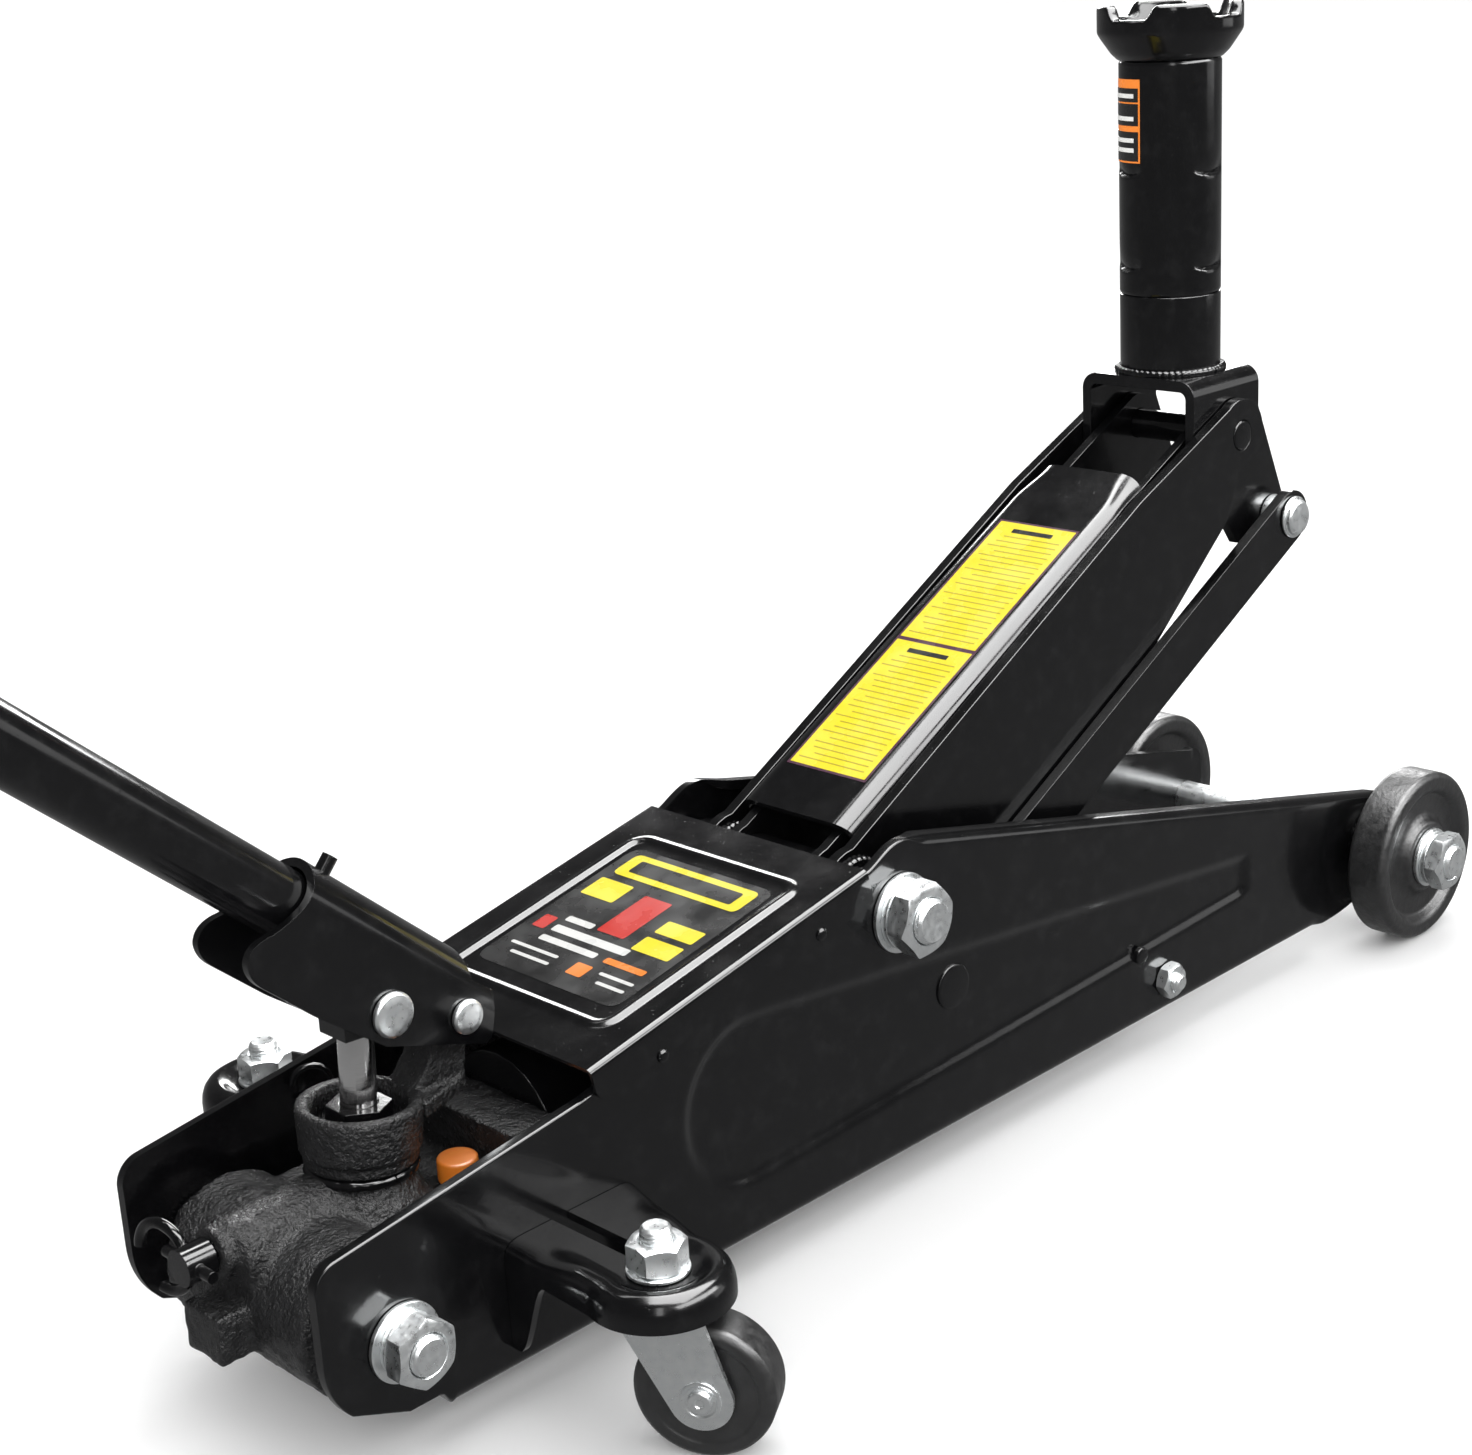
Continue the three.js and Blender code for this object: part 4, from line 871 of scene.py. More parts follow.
# %% [markdown]
# ## Lifting arm
# Two pairs of flame-cut plates carry a folded channel. The channel's bends are what catches the light,
# so they are built with a true radius; the plates are the CAD solids with their edges eased.

# %% Arm channel
RISE = math.radians(27.6)
ARM_ALONG = np.array([math.cos(RISE), 0, math.sin(RISE)])
ARM_UP = np.array([-math.sin(RISE), 0, math.cos(RISE)])
ARM_TOP = 28.0


def arm_cover(rows=110):
    """A U section carried along the arm. Its bend radius grows from 11 to 17 over the last 28 mm."""
    half, low, sheet = 37.0, 4.0, 3.0
    bend = np.linspace(0, np.pi / 2, 15)[None]
    run = np.linspace(0, 1, rows)[:, None]
    bend_r = 11 + 6 * smooth(18 + 265 * run, 255, 283)
    faces = []
    for inset in (0, sheet):
        r = bend_r - inset
        share = np.linspace(0, 1, 10)[None, :-1]
        side_h = low + (ARM_TOP - bend_r - low) * share
        arc_y = half - inset - r * (1 - np.cos(bend))
        arc_h = ARM_TOP - bend_r + r * np.sin(bend)
        flat = arc_y[:, -1:] * np.linspace(1, -1, 40)[None, 1:-1]
        side_y = np.full_like(side_h, half - inset)
        y = np.hstack([side_y, arc_y, flat, -arc_y[:, ::-1], -side_y])
        flat_h = np.full_like(flat, ARM_TOP - inset)
        h = np.hstack([side_h, arc_h, flat_h, arc_h[:, ::-1], side_h[:, ::-1]])
        side = np.clip((np.abs(y) - (half - 12)) / 12, 0, 1)
        start = 18 + 2 * side ** 2
        end = 283 - 4 * side ** 2 - 0.25 * np.clip(24 - h, 0, 24)
        along = start + (end - start) * run
        points = ARM + MM * (along[..., None] * ARM_ALONG + h[..., None] * ARM_UP)
        points[..., 1] = y * MM
        faces.append(points)
    return sheet_of(*faces)


make("arm_channel", arm_cover(), "arm", PAINT, ["arm_cover"], 50)
print("arm channel folded")

# %% Arm plates, links and their plugs
LINK_PLUG = rounded([[0, -26.3], [8, -26.3], [8, -20], [11.4, -20], [11.4, -1.5], [10.4, -0.9],
                     [0, -0.5]], 0.4, 3, closed=False)
for where, side in SIDES.items():
    dressed(f"arm_plate_{where}", "arm", PAINT, 2.9, 6)
    dressed(f"arm_inner_plate_{where}", "arm", PAINT, 0.9)
    dressed(f"link_bar_{where}", "links", PAINT, 1.1)
    stub = np.array([LINK[0], side * HALF * MM, LINK[2]])
    make(f"link_plug_{where}", turned(LINK_PLUG, stub, (0, side, 0), 56, closed=False), "frame", PAINT,
         [f"link_stub_{where}"])
print("arm plates and links built")

# %% Arm pins, hub and shaft
pin_profile = rounded([[0, -43.8], [8, -43.8], [8, 43.8], [0, 43.8]], 1.2, 3, closed=False)
head_pin = turned(pin_profile, HEAD, (0, 1, 0), 56, closed=False)
make("head_pin", head_pin, "arm", PAINT, ["arm_head_pin"])
hub_profile = rounded([[11.2, -60], [17, -60], [17, 60], [11.2, 60]], 0.9, 3)
make("hub_tube", turned(hub_profile, ARM, (0, 1, 0), 64), "arm", PAINT, ["arm_hub_tube"])
shaft_profile = rounded([[0, -71], [11, -71], [11, 71], [0, 71]], 0.8, 3, closed=False)
shaft = turned(shaft_profile, ARM, (0, 1, 0), 64, closed=False)
make("arm_shaft_bar", shaft, "frame", ZINC, ["arm_shaft"])
dressed("arm_lever_pin", "arm", ZINC, 0.6)
print("arm pinned to the frame")

# %% [markdown]
# ## Saddle head
# The head is a folded bracket with a post welded on, an extension that drops into it and a toothed
# saddle. The extension's tube is crimped to hold its stem, which leaves shallow crescents.

# %% Bracket, link pins and post
dressed("saddle_bracket", "bracket", PAINT, 1.5, 4)
LINK_PIN = rounded([[0, 31.2], [7, 31.2], [7, 36.9], [11, 36.9], [11, 44.1], [7, 44.1], [7, 51],
                    [11.5, 51], [11.5, 52.4], [9.6, 52.4], [9.6, 54.6], [8.4, 55.8], [0, 55.8]],
                   0.5, 3, closed=False)
for where, side in SIDES.items():
    top_pin = centre_of(f"link_top_pin_{where}")
    spot = np.array([top_pin[0], 0, top_pin[2]])
    link_pin = turned(LINK_PIN, spot, (0, side, 0), 56, closed=False)
    make(f"link_pin_{where}", link_pin, "bracket", ZINC, [f"link_top_pin_{where}"], 35)

POST = np.array([SADDLE[0], 0, 0])
POST_R = 26.7
SPIGOT_R = 20.7


def height(node, end):
    """A node's lowest (0) or highest (1) height in millimetres."""
    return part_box(node)[end][2] / MM


base_low, base_top = height("post_base", 0), height("post_base", 1)
base = [[21, base_low], [POST_R, base_low], [POST_R, base_top], [21, base_top]]
make("post_socket", turned(rounded(base, 0.7, 3), POST, (0, 0, 1), 96), "bracket", PAINT, ["post_base"])
print("post stands from", base_low, "to", base_top, "mm")

# %% Crimped extension
SEAM_GAP = 0.3
ext_low, ext_top = height("extension_tube", 0), height("extension_tube", 1)
ext_seam = base_top + SEAM_GAP


def crimped(t, r, h):
    """Three crescents at each of two heights: a sharp lower lip, fading upwards."""
    dent = 0 * r
    for level in (0.11, 0.52):
        line = ext_seam + level * (ext_top - ext_seam)
        for crescent in (0, 1, 2):
            off = (t - 4.22 - crescent * 2.094 + np.pi) % (2 * np.pi) - np.pi
            rise = h - line - 1.6 * (off / 0.45) ** 2
            lip = np.where(rise > 0, np.exp(-rise / 4.2), np.exp(rise / 0.5))
            dent = dent + 2.4 * lip * np.exp(-(off / 0.46) ** 6)
    return r - np.where(r > 26, dent, 0), h


wall = np.linspace(ext_seam + 1.2, ext_top - 1.2, 150)
outside = np.stack([np.full(len(wall), POST_R), wall], axis=1)
spigot = [[14.2, ext_low], [20.2, ext_low], [SPIGOT_R, ext_low + 0.8], [SPIGOT_R, ext_seam],
          [26.0, ext_seam]]
mouth = [[26.1, ext_top], [21.2, ext_top], [21, ext_top - 1], [21, ext_top - 34], [14.2, ext_top - 35]]
ext_profile = np.vstack([spigot, outside, mouth])
make("extension_post", turned(ext_profile, POST, (0, 0, 1), 160, bump=crimped), "extension", PAINT,
     ["extension_tube"], 35)
print("extension", ext_top - ext_seam, "mm tall above its seam")

# %% Toothed saddle


def toothed(t, r, h):
    """The rim stands up in four lugs with sloping flanks."""
    off = (t + np.pi / 4) % (np.pi / 2) - np.pi / 4
    notch = 1 - smooth(np.abs(off), 0.26, 0.44)
    rim = smooth(h, sad_top - 9, sad_top - 0.5) * smooth(r, 26, 29)
    return r, h - 7.0 * notch * rim


sad_low = base_top + SEAM_GAP + (ext_top - ext_seam) + SEAM_GAP
sad_top = height("saddle", 1)
stem_low = height("saddle", 0)
cup = rounded([[0, stem_low], [SPIGOT_R, stem_low], [SPIGOT_R, sad_low], [POST_R, sad_low],
               [30.5, sad_low + 3.5], [35.8, sad_low + 11], [37.7, sad_low + 14], [37.7, sad_top - 1.5],
               [36.6, sad_top], [31.8, sad_top], [29.6, sad_top - 8], [27.2, sad_low + 11],
               [0, sad_low + 11]], 1.4, 4, closed=False)
fine = np.vstack([np.linspace(a, b, 4, endpoint=False) for a, b in zip(cup[:-1], cup[1:])] + [cup[-1:]])
make("toothed_saddle", turned(fine, POST, (0, 0, 1), 144, closed=False, bump=toothed), "saddle", PAINT,
     ["saddle"], 40)
print("saddle head built")

# %% [markdown]
# ## Power unit
# Castings have no sharp edges and no flat faces. The CAD block is remeshed, relaxed until its corners
# melt, and given a slow noise, which reads as sand-cast iron even before the material's grain.

# %% Castings


def open_bore(mesh, within=8.6, radius=10.8):
    """Moves the wall of the plunger's bore outwards, so that the rough skin stays clear of the rod."""
    points = np.array([vertex.co for vertex in mesh.vertices])
    rise = (points - PUMP) @ PUMP_UP
    across = points - PUMP - rise[:, None] * PUMP_UP
    reach = np.linalg.norm(across, axis=1)
    wall = (reach > 1e-6) & (reach < within * MM) & (rise < -0.005)
    points[wall] += across[wall] * (radius * MM / reach[wall] - 1)[:, None]
    mesh.vertices.foreach_set("co", points.ravel())


def casting(node, body, voxel=1.4, relax=9, rough=1.8):
    """A CAD node remeshed, relaxed and pushed about by two noises."""
    mesh = NODES[node].data.copy()
    mesh.materials.clear()
    open_bore(mesh)
    work = bmesh.new()
    work.from_mesh(mesh)
    bmesh.ops.remove_doubles(work, verts=work.verts, dist=1e-5)
    work.to_mesh(mesh)
    work.free()
    piece = bpy.data.objects.new(node + "_cast", mesh)
    bpy.context.collection.objects.link(piece)
    remesh = piece.modifiers.new("skin", "REMESH")
    remesh.mode = "VOXEL"
    remesh.voxel_size = voxel * MM
    remesh.use_smooth_shade = True
    soft = piece.modifiers.new("soften", "SMOOTH")
    soft.factor = 0.5
    soft.iterations = relax
    for label, scale, share in (("lumps", 0.012, 1.0), ("sand", 0.0045, 0.6)):
        cloud = bpy.data.textures.new(f"{node}_{label}", "CLOUDS")
        cloud.noise_scale = scale
        cloud.noise_depth = 3
        push = piece.modifiers.new(label, "DISPLACE")
        push.texture = cloud
        push.texture_coords = "LOCAL"
        push.strength = rough * share * MM
        push.mid_level = 0.6
    mesh.materials.append(CAST[1])
    place(piece, body, [node])
    return piece


casting("power_unit_casting", "frame")
print("housing cast")

# %% Pump cup and neck


def keep_side(mesh, point, normal):
    """Cuts a mesh with a plane, keeps the side the normal points to and closes the cut."""
    work = bmesh.new()
    work.from_mesh(mesh)
    bmesh.ops.bisect_plane(work, geom=work.verts[:] + work.edges[:] + work.faces[:], dist=1e-6,
                           plane_co=Vector(point), plane_no=Vector(normal), clear_inner=True)
    bmesh.ops.holes_fill(work, edges=[edge for edge in work.edges if edge.is_boundary])
    work.to_mesh(mesh)
    work.free()


LUG_START = np.array([20 * MM, 0, 0])
CUP_WALL = rounded([[15.3, -12.4], [15.3, -26.6], [22, -27], [24.4, -26], [24.6, -21.4], [25.9, -20.2],
                    [26.9, -4], [26.6, -0.8], [25, 0], [22, -0.5], [20.4, -3.4], [19.6, -11.6]], 1.3, 4)
NECK_DROP = 29.2
lug = casting("pump_cup", "pump_swivel", 0.9, 4, 0.35)
keep_side(lug.data, PUMP + LUG_START, (1, 0, 0))
make("pump_cup_wall", turned(CUP_WALL, PUMP, PUMP_UP, 96), "pump_swivel", CAST, ["pump_cup"], 60)
collar = ring_path(PUMP - NECK_DROP * MM * PUMP_UP, PUMP_UP, 22.2)
make("neck_paint_ring", bead(collar, 2.3, 9), "frame", PAINT)
print("pump cup and its lug built")

# %% Ram, valve and small parts
dressed("reservoir_tube", "frame", PAINT, 1.0)
dressed("ram_gland_nut", "frame", PAINT, 0.8)
dressed("pump_gland_nut", "frame", PAINT, 0.6)
dressed("spring_anchor_bar", "frame", PAINT, 0.5)
dressed("release_valve", "valve", PAINT, 0.7)
dressed("ram_clevis", "ram", CAST, 1.2)
rod_low, rod_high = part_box("ram_rod")
rod_length = (rod_high[0] - rod_low[0]) / MM
rod_centre = np.array([rod_low[0], 0, (rod_low[2] + rod_high[2]) / 2])
rod = rounded([[0, 0], [14, 0], [14, rod_length], [0, rod_length]], 1, 3, closed=False)
make("ram_bar", turned(rod, rod_centre, (1, 0, 0), 64, closed=False), "ram", CHROME, ["ram_rod"])
print("ram", rod_length, "mm long")

# %% Filler plug and plunger
BLOCK_FOOT = 30.6
plug = centre_of("filler_plug")
plug_low = height("filler_plug", 0)
plug_spot = np.array([plug[0], plug[1], 0])
dome = rounded([[0, plug_low], [9, plug_low], [9, plug_low + 11], [0, plug_low + 11.5]], 1.6, 4,
               closed=False)
make("filler_cap", turned(dome, plug_spot, (0, 0, 1), 48, closed=False), "frame", ORANGE, ["filler_plug"])
block = dressed("plunger", "pump_plunger", PAINT, 0.9)
keep_side(block.data, PUMP + BLOCK_FOOT * MM * PUMP_UP, PUMP_UP)
piston = rounded([[0, -26], [7.8, -26], [7.8, 30.5], [0, 30.5]], 0.6, 3, closed=False)
make("plunger_rod", turned(piston, PUMP, PUMP_UP, 64, closed=False), "pump_plunger", CHROME, ["plunger"])
print("power unit built")

# %% Return springs
SPRING_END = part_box("ram_clevis")[0][0] + 0.0035
SPRING_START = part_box("spring_anchor_bar")[0][0] + 0.004
SPRING_Y = 0.0515
START_Z = 0.096
END_Z = 0.084


def spring(side, turns=34, radius=5.4, wire=1.25):
    """A helix whose turns lie close, with a hook over the bar at each end."""
    start = np.array([SPRING_START, side * SPRING_Y, START_Z])
    end = np.array([SPRING_END, side * SPRING_Y, END_Z])
    t = np.linspace(0, 1, turns * 20)
    angle = 2 * np.pi * turns * t
    taper = np.minimum(np.minimum(t, 1 - t) / 0.03, 1)
    core = start + (0.035 + 0.93 * t[:, None]) * (end - start)
    across = MM * radius * taper
    coil = core + np.stack([0 * t, across * np.cos(angle), across * np.sin(angle)], axis=1)
    hook = np.linspace(-0.5 * np.pi, 1.1 * np.pi, 14)
    ring = MM * radius * np.stack([-np.sin(hook), 0 * hook, np.cos(hook)], axis=1)
    first = start + ring[::-1]
    last = end + ring * np.array([1, 1, -1])
    return tube(np.vstack([first, coil[8:-8], last]), MM * wire, 8)


for where, side in SIDES.items():
    coil = make(f"return_coil_{where}", spring(side), None, WIRE, [f"return_spring_{where}"], 60)
    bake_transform(coil)

# %% [markdown]
# ## Handle
# The yoke is one bent sheet that wraps the tube, pinned to the pump's lug. The tube is plain drawn
# tube in two lengths, with a rubber grip on its end.

# %% Yoke and pins
dressed("handle_yoke", "handle", PAINT, 0.9)
PULL = np.array(JOINTS["handle_pull"]["axis"], float)


def pin_set(name, node, body, shank, head):
    """A rivet-like pin: a straight shank and a domed head each side."""
    middle = centre_of(node)
    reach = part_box(node)[1][1] / MM
    profile = []
    for sign in (-1, 1):
        side = [[0, reach - 0.3], [head * 0.55, reach - 0.3], [head - 1, reach - 0.8],
                [head, reach - 1.8], [head, 19.7], [shank, 19.5]]
        side = [[r, sign * h] for r, h in side]
        profile += side if sign < 0 else side[::-1]
    shape = turned(rounded(profile, 0.5, 3, closed=False), middle, (0, 1, 0), 48, closed=False)
    make(name, shape, body, ZINC, [node], 35)


pin_set("yoke_rivet", "yoke_pin", "handle", 4.5, 9.9)
pin_set("fulcrum_rivet", "fulcrum_pin", "pump_swivel", 5.0, 7.7)
print("yoke pinned to the pump")

# %% Handle tubes


def handle_point(node, toward_pump):
    """The end of a handle tube's axis nearer to or farther from the pump."""
    low, high = (np.array(corner, float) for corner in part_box(node))
    middle = (low + high) / 2
    radius = (high[1] - low[1]) / 2
    half_x = (high[0] - low[0]) / 2 - radius * abs(PULL[2])
    reach = half_x / abs(PULL[0])
    return middle - PULL * reach * (1 if toward_pump else -1)


for node, name in (("handle_lower_tube", "lower_tube"), ("handle_upper_tube", "upper_tube")):
    near_end = handle_point(node, True)
    far_end = handle_point(node, False)
    length = np.linalg.norm(far_end - near_end) / MM
    profile = rounded([[12.3, 0], [14.3, 0], [14.3, length], [12.3, length]], 0.6, 3)
    make(name, turned(profile, near_end, PULL, 72), "handle_tubes", PAINT, [node])
print("handle tubes built")

# %% Rubber grip
grip_near, grip_far = handle_point("handle_grip", True), handle_point("handle_grip", False)
grip_length = np.linalg.norm(grip_far - grip_near) / MM
RIB_PITCH = 7.0
ribs = np.linspace(6, grip_length - 8, 220)
rib_r = 17.2 - 0.9 * (0.5 + 0.5 * np.cos(2 * np.pi * ribs / RIB_PITCH)) ** 3
grip_profile = np.vstack([
    [[14.7, 0], [16.6, 0], [17.4, 1], [17.4, 5]], np.stack([rib_r, ribs], axis=1),
    [[17.6, grip_length - 6], [17.6, grip_length - 2], [15, grip_length], [0, grip_length],
     [0, grip_length - 2.4], [14.7, grip_length - 2.6]]])
make("rubber_grip", turned(grip_profile, grip_near, PULL, 64), "handle_tubes", RUBBER, ["handle_grip"], 45)
print("grip", grip_length, "mm long")

# %% [markdown]
# ## Painted reflections and welds
# Two black rings of bent wire are painted reflections of the pump cup's rim and the valve boss in the
# glossy far plate.
# A bent wire is a tube of constant radius. A weld bead is a tube laid along its seam, with ripples where
# each puddle froze.

# %% Painted reflections drawn as wire loops
# Painted reflection: a black wire loop in front of the far plate stands for the pump cup's rim mirrored in
# its glossy inner face.
loop = ring_path(on_side(94, 1, 60.5, 108.5), (0.5, 1, 0.1), 8.5, 0.86, 60)
make("painted_cup_reflection_loop", tube(loop, 1.5 * MM, 10), "frame", PAINT)
# Painted reflection: a black wire ring by the valve stands for the valve boss mirrored in the glossy far
# plate.
valve_reflection_path = ring_path(on_side(-7, 1, 26, 80), (1, 0.15, 0), 15, 0.8, 70)
make("painted_valve_reflection_ring", tube(valve_reflection_path, 2.5 * MM, 12), "frame", PAINT)
print("wire bent")

# %% Weld beads
bead_at = np.array([POST[0], 0, base_low * MM + 0.0006])
make("weld_post", bead(ring_path(bead_at, (0, 0, 1), 27.2), 2.6), "bracket", PAINT)
for where, side in SIDES.items():
    for inset in (44.6, 36.2):
        seam = ring_path(ARM + np.array([0, side * inset * MM, 0]), (0, 1, 0), 18.4)
        make(f"weld_hub_{where}_{int(inset)}", bead(seam, 2.3), "arm", PAINT)
print("welds laid")

# %% [markdown]
# ## Labels
# The films are printed in plain colour blocks. Bars stand in for lines of print, so nothing can be read.

# %% Film patches


def patch(name, origin, along, across, a, b, body, ink, lift=0.12, radius=1.5, thick=0.1):
    """A thin round-cornered film: a from, a to along; b from, b to across; lifted off its face."""
    along = np.array(along, float)
    across = np.array(across, float)
    out = np.cross(along, across)
    corners = rounded([[a[0], b[0]], [a[1], b[0]], [a[1], b[1]], [a[0], b[1]]], radius, 4)
    rings = []
    for level in (lift, lift + thick):
        offset = corners[:, :1] * along + corners[:, 1:] * across + level * out
        rings.append(np.array(origin) + MM * offset)
    middle = (np.mean(rings[0], axis=0), np.mean(rings[1], axis=0))
    count = len(corners)
    loops = np.stack([np.repeat(middle[0][None], count, axis=0), rings[0], rings[1],
                      np.repeat(middle[1][None], count, axis=0)], axis=1)
    return make(name, grid(loops, wrap_u=True), body, INK[ink], sharp=30)


print("film maker ready")

# %% Arm film
ARM_ACROSS = np.array([0, 1, 0])
ARM_FACE = ARM + MM * ARM_TOP * ARM_UP
EDGE_LIFT = 0.05
FILM_LIFT = 0.16
PRINT_LIFT = 0.27
LINES = 21


def arm_patch(name, a, b, ink, lift, radius):
    """A film on the arm's channel, in millimetres along and across the arm."""
    patch(name, ARM_FACE, ARM_ALONG, ARM_ACROSS, a, b, "arm", ink, lift, radius)


arm_patch("arm_film_edge", (46, 236), (-26, 26), "border", EDGE_LIFT, 0.4)
for index, (start, end) in enumerate(((47.4, 139.5), (142, 234.6))):
    arm_patch(f"arm_film_{index}", (start, end), (-24.6, 24.6), "yellow", FILM_LIFT, 0.3)
    arm_patch(f"arm_film_head_{index}", (end - 7.5, end - 4.5), (-13, 13), "black", PRINT_LIFT, 0.6)
    rows = np.linspace(start + 4, end - 11, LINES)
    lengths = 18 + 4.2 * np.cos(np.arange(LINES) * 2.4)
    for row, (place_at, reach) in enumerate(zip(rows, lengths)):
        arm_patch(f"arm_film_line_{index}_{row}", (place_at, place_at + 0.7), (-21, reach), "olive",
                  PRINT_LIFT, 0.3)
print("arm film laid")

# %% Cover film
COVER_MID = (COVER_REAR + COVER_FRONT) / 2
COVER_FACE = np.array([COVER_MID[0] * MM + REAR, 0, COVER_MID[1] * MM])
COVER_ALONG = np.array([SLOPE[0], 0, SLOPE[1]])
COVER_UP = np.array([NORMAL[0], 0, NORMAL[1]])
COVER_FACE = COVER_FACE - COVER_DROP * MM * COVER_UP


def cover_patch(name, a, b, ink, lift=FILM_LIFT, radius=1.2):
    """A film inside the cover's embossed frame, in millimetres along and across the slope."""
    patch(name, COVER_FACE, COVER_ALONG, ARM_ACROSS, a, b, "frame", ink, lift, radius)


cover_patch("cover_film", (-50, 54), (-47, 47), "black", EDGE_LIFT, 7)
cover_patch("cover_film_band", (32, 50), (-41, 41), "yellow", FILM_LIFT, 4)
cover_patch("cover_film_band_bar", (36, 46), (-34, 34), "black", PRINT_LIFT, 1.5)
for index, (a, b, ink) in enumerate((
        ((12, 27), (20, 42), "yellow"), ((-12, -1), (-42, -18), "yellow"), ((3, 13), (-42, -18), "yellow"),
        ((-8, 24), (-9, 9), "red"), ((-19, -9), (34, 42), "red"), ((-18, -13), (-20, 30), "white"),
        ((-9, -5), (12, 30), "white"), ((-26, -22), (-8, 30), "white"), ((-26, -22), (-40, -14), "orange"),
        ((-40, -31), (-14, -4), "orange"), ((-34, -32), (8, 40), "white"), ((-40, -38), (8, 34), "white"),
        ((-34, -32), (-42, -20), "white"), ((-40, -38), (-42, -24), "white"))):
    cover_patch(f"cover_film_block_{index}", a, b, ink)
print("cover film laid")

# %% Post film


def post_film(name, turn, heights, ink, lift):
    """A film wrapped on the extension: t along the turn, h up the post."""
    t = np.linspace(turn[0], turn[1], 24)
    rings = []
    for r, levels in ((POST_R + 0.05 + lift, heights), (POST_R + 0.15 + lift, heights[::-1])):
        x = POST[0] + MM * r * np.cos(t)
        y = MM * r * np.sin(t)
        rings += [np.stack([x, y, np.full_like(t, h * MM)], axis=1) for h in levels]
    shape = grid(np.stack(rings, axis=1), wrap_v=True)
    ends = [grid(np.stack([np.stack([ring[k] for ring in rings[:2]]),
                           np.stack([ring[k] for ring in rings[2:]][::-1])])) for k in (0, -1)]
    make(name, joined(shape, *ends), "extension", INK[ink], sharp=30)


film_top = ext_top - 8.4
film_low = ext_top - 50.8
PANEL = (1.54, 3.11)
PANEL_LIFT = 0.12
RULE_LIFT = 0.24
post_film("post_film", (1.5, 3.15), (film_low, film_top), "orange", 0)
post_film("post_film_head", PANEL, (film_top - 11.5, film_top - 4.5), "black", PANEL_LIFT)
post_film("post_film_upper", PANEL, (film_top - 23.5, film_top - 12.3), "black", PANEL_LIFT)
post_film("post_film_lower", PANEL, (film_low + 0.9, film_top - 26.5), "black", PANEL_LIFT)
for index, (below, start) in enumerate(((9.5, 2.0), (21, 1.9), (32, 1.8), (37, 1.95))):
    rule = (film_top - below, film_top - below + 2.2)
    post_film(f"post_film_rule_{index}", (start, 3.0), rule, "white", RULE_LIFT)
print("post film wrapped")

# %% [markdown]
# ## Stage, light and camera
# Gloss black shows only what it reflects. So large lamps that matt surfaces do not receive draw its
# streaks, small ones light the floor and the films, and the world is dimmed in reflections alone. The
# floor is pale and left out of the reflections, which keeps the painted sides dark.

# %% Floor


def plane(name, half, z, finish_colour):
    """A square sheet of 2 x 2 quads at height z, with a faintly mottled matt finish."""
    t = np.linspace(-half, half, 3)
    x, y = np.meshgrid(t, t, indexing="ij")
    mesh = bpy.data.meshes.new(name)
    vertices, faces = grid(np.stack([x, y, 0 * x + z], axis=-1))
    mesh.from_pydata(vertices.tolist(), [], faces.tolist())
    obj = bpy.data.objects.new(name, mesh)
    bpy.context.collection.objects.link(obj)
    floor_finish = Finish(name + "_matt", finish_colour, 0.8)
    floor_finish.tint(floor_finish.noise(1.5, 2), tuple(0.985 * c for c in finish_colour), finish_colour)
    mesh.materials.append(floor_finish.material)
    return obj


floor = plane("floor", 12, -0.0004, (0.93, 0.93, 0.93))
floor.visible_glossy = False
print("floor laid")

# %% Soft boxes


def softbox(name, place_at, aim, size, power, on_matt=True):
    """A rectangular lamp; one that is off matt surfaces is seen only as a reflection."""
    data = bpy.data.lights.new(name, "AREA")
    data.shape = "RECTANGLE"
    data.size, data.size_y = size
    data.energy = power
    lamp = bpy.data.objects.new(name, data)
    lamp.location = place_at
    lamp.rotation_euler = (Vector(aim) - Vector(place_at)).to_track_quat("-Z", "Y").to_euler()
    lamp.visible_diffuse = on_matt
    bpy.context.collection.objects.link(lamp)


MIDDLE = Vector((0.3, 0, 0.22))
softbox("key_box", (-1.9, -2.2, 1.6), MIDDLE, (0.5, 2.0), 20)
softbox("ceiling_box", MIDDLE + 2.4 * Vector((0.15, -0.18, 0.97)), MIDDLE, (3.2, 2.2), 480, False)
softbox("wall_box", MIDDLE + 2.4 * Vector((0.25, -0.80, 0.55)), MIDDLE, (3.2, 0.7), 130, False)
softbox("top_box", (0.5, 1.3, 3.0), MIDDLE, (2.2, 0.3), 16)
softbox("rim_box", MIDDLE + 3.0 * Vector((0.743, 0.608, 0.279)), MIDDLE, (1.9, 0.5), 60, False)
softbox("side_box", (2.8, -2.0, 0.9), MIDDLE, (1.3, 1.3), 10)
print("lamps:", len(bpy.data.lights))

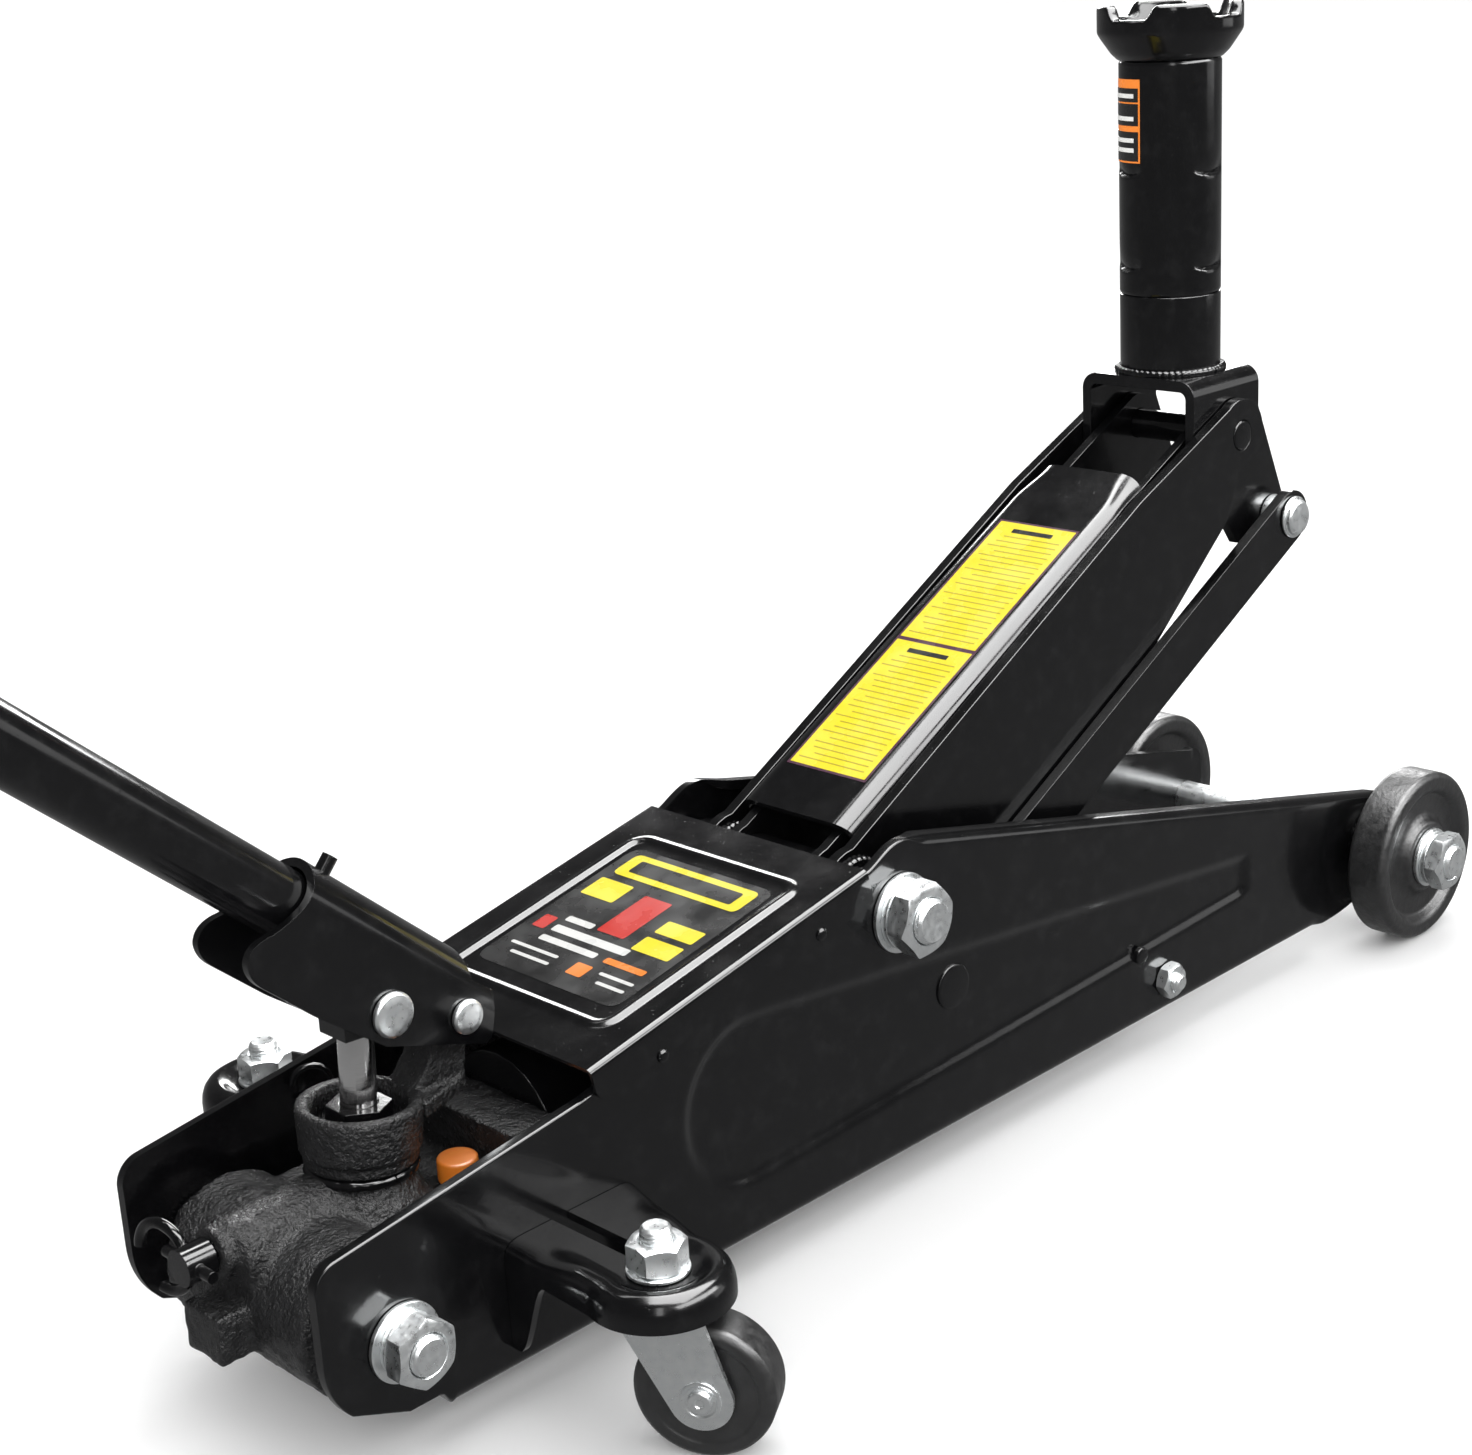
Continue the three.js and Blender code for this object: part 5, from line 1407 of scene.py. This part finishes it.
# %% World
world = bpy.data.worlds.new("studio")
bpy.context.scene.world = world
world.use_nodes = True
sky = world.node_tree.nodes["Background"]
sky.inputs["Color"].default_value = (1, 1, 1, 1)


def world_node(kind, **values):
    """A node in the world with some of its inputs set."""
    node = world.node_tree.nodes.new(kind)
    for key, value in values.items():
        node.inputs[key.replace("_", " ")].default_value = value
    return node


path_node = world_node("ShaderNodeLightPath")
compass = world_node("ShaderNodeTexCoord")
split = world_node("ShaderNodeSeparateXYZ")
dim = world_node("ShaderNodeMapRange", From_Min=-0.35, From_Max=0.15, To_Min=0.3, To_Max=0.14)
tone = world_node("ShaderNodeMapRange", To_Min=1.2)
world.node_tree.links.new(compass.outputs["Generated"], split.inputs["Vector"])
world.node_tree.links.new(split.outputs["Z"], dim.inputs["Value"])
world.node_tree.links.new(dim.outputs["Result"], tone.inputs["To Max"])
world.node_tree.links.new(path_node.outputs["Is Glossy Ray"], tone.inputs["Value"])
world.node_tree.links.new(tone.outputs["Result"], sky.inputs["Strength"])
print("world set")

# %% Camera
AZIMUTH, PITCH, ROLL = (math.radians(v) for v in (43.8, 18.0, -3.3))
right = Vector((math.cos(AZIMUTH), -math.sin(AZIMUTH), 0))
ahead = Vector((math.cos(PITCH) * math.sin(AZIMUTH), math.cos(PITCH) * math.cos(AZIMUTH), -math.sin(PITCH)))
upward = right.cross(ahead)
x_axis = math.cos(ROLL) * right + math.sin(ROLL) * upward
y_axis = -math.sin(ROLL) * right + math.cos(ROLL) * upward
stand = Vector(ARM) + Vector((-0.7922, -0.7944, 0.4422))
camera_data = bpy.data.cameras.new("view")
camera_data.lens = 60.86
camera_data.sensor_width = 36
camera = bpy.data.objects.new("view", camera_data)
camera.matrix_world = Matrix((
    (x_axis.x, y_axis.x, -ahead.x, stand.x), (x_axis.y, y_axis.y, -ahead.y, stand.y),
    (x_axis.z, y_axis.z, -ahead.z, stand.z), (0, 0, 0, 1)))
bpy.context.collection.objects.link(camera)
bpy.context.scene.camera = camera
bpy.context.scene.view_settings.view_transform = "Standard"
print("camera stands at", tuple(round(c, 3) for c in stand))
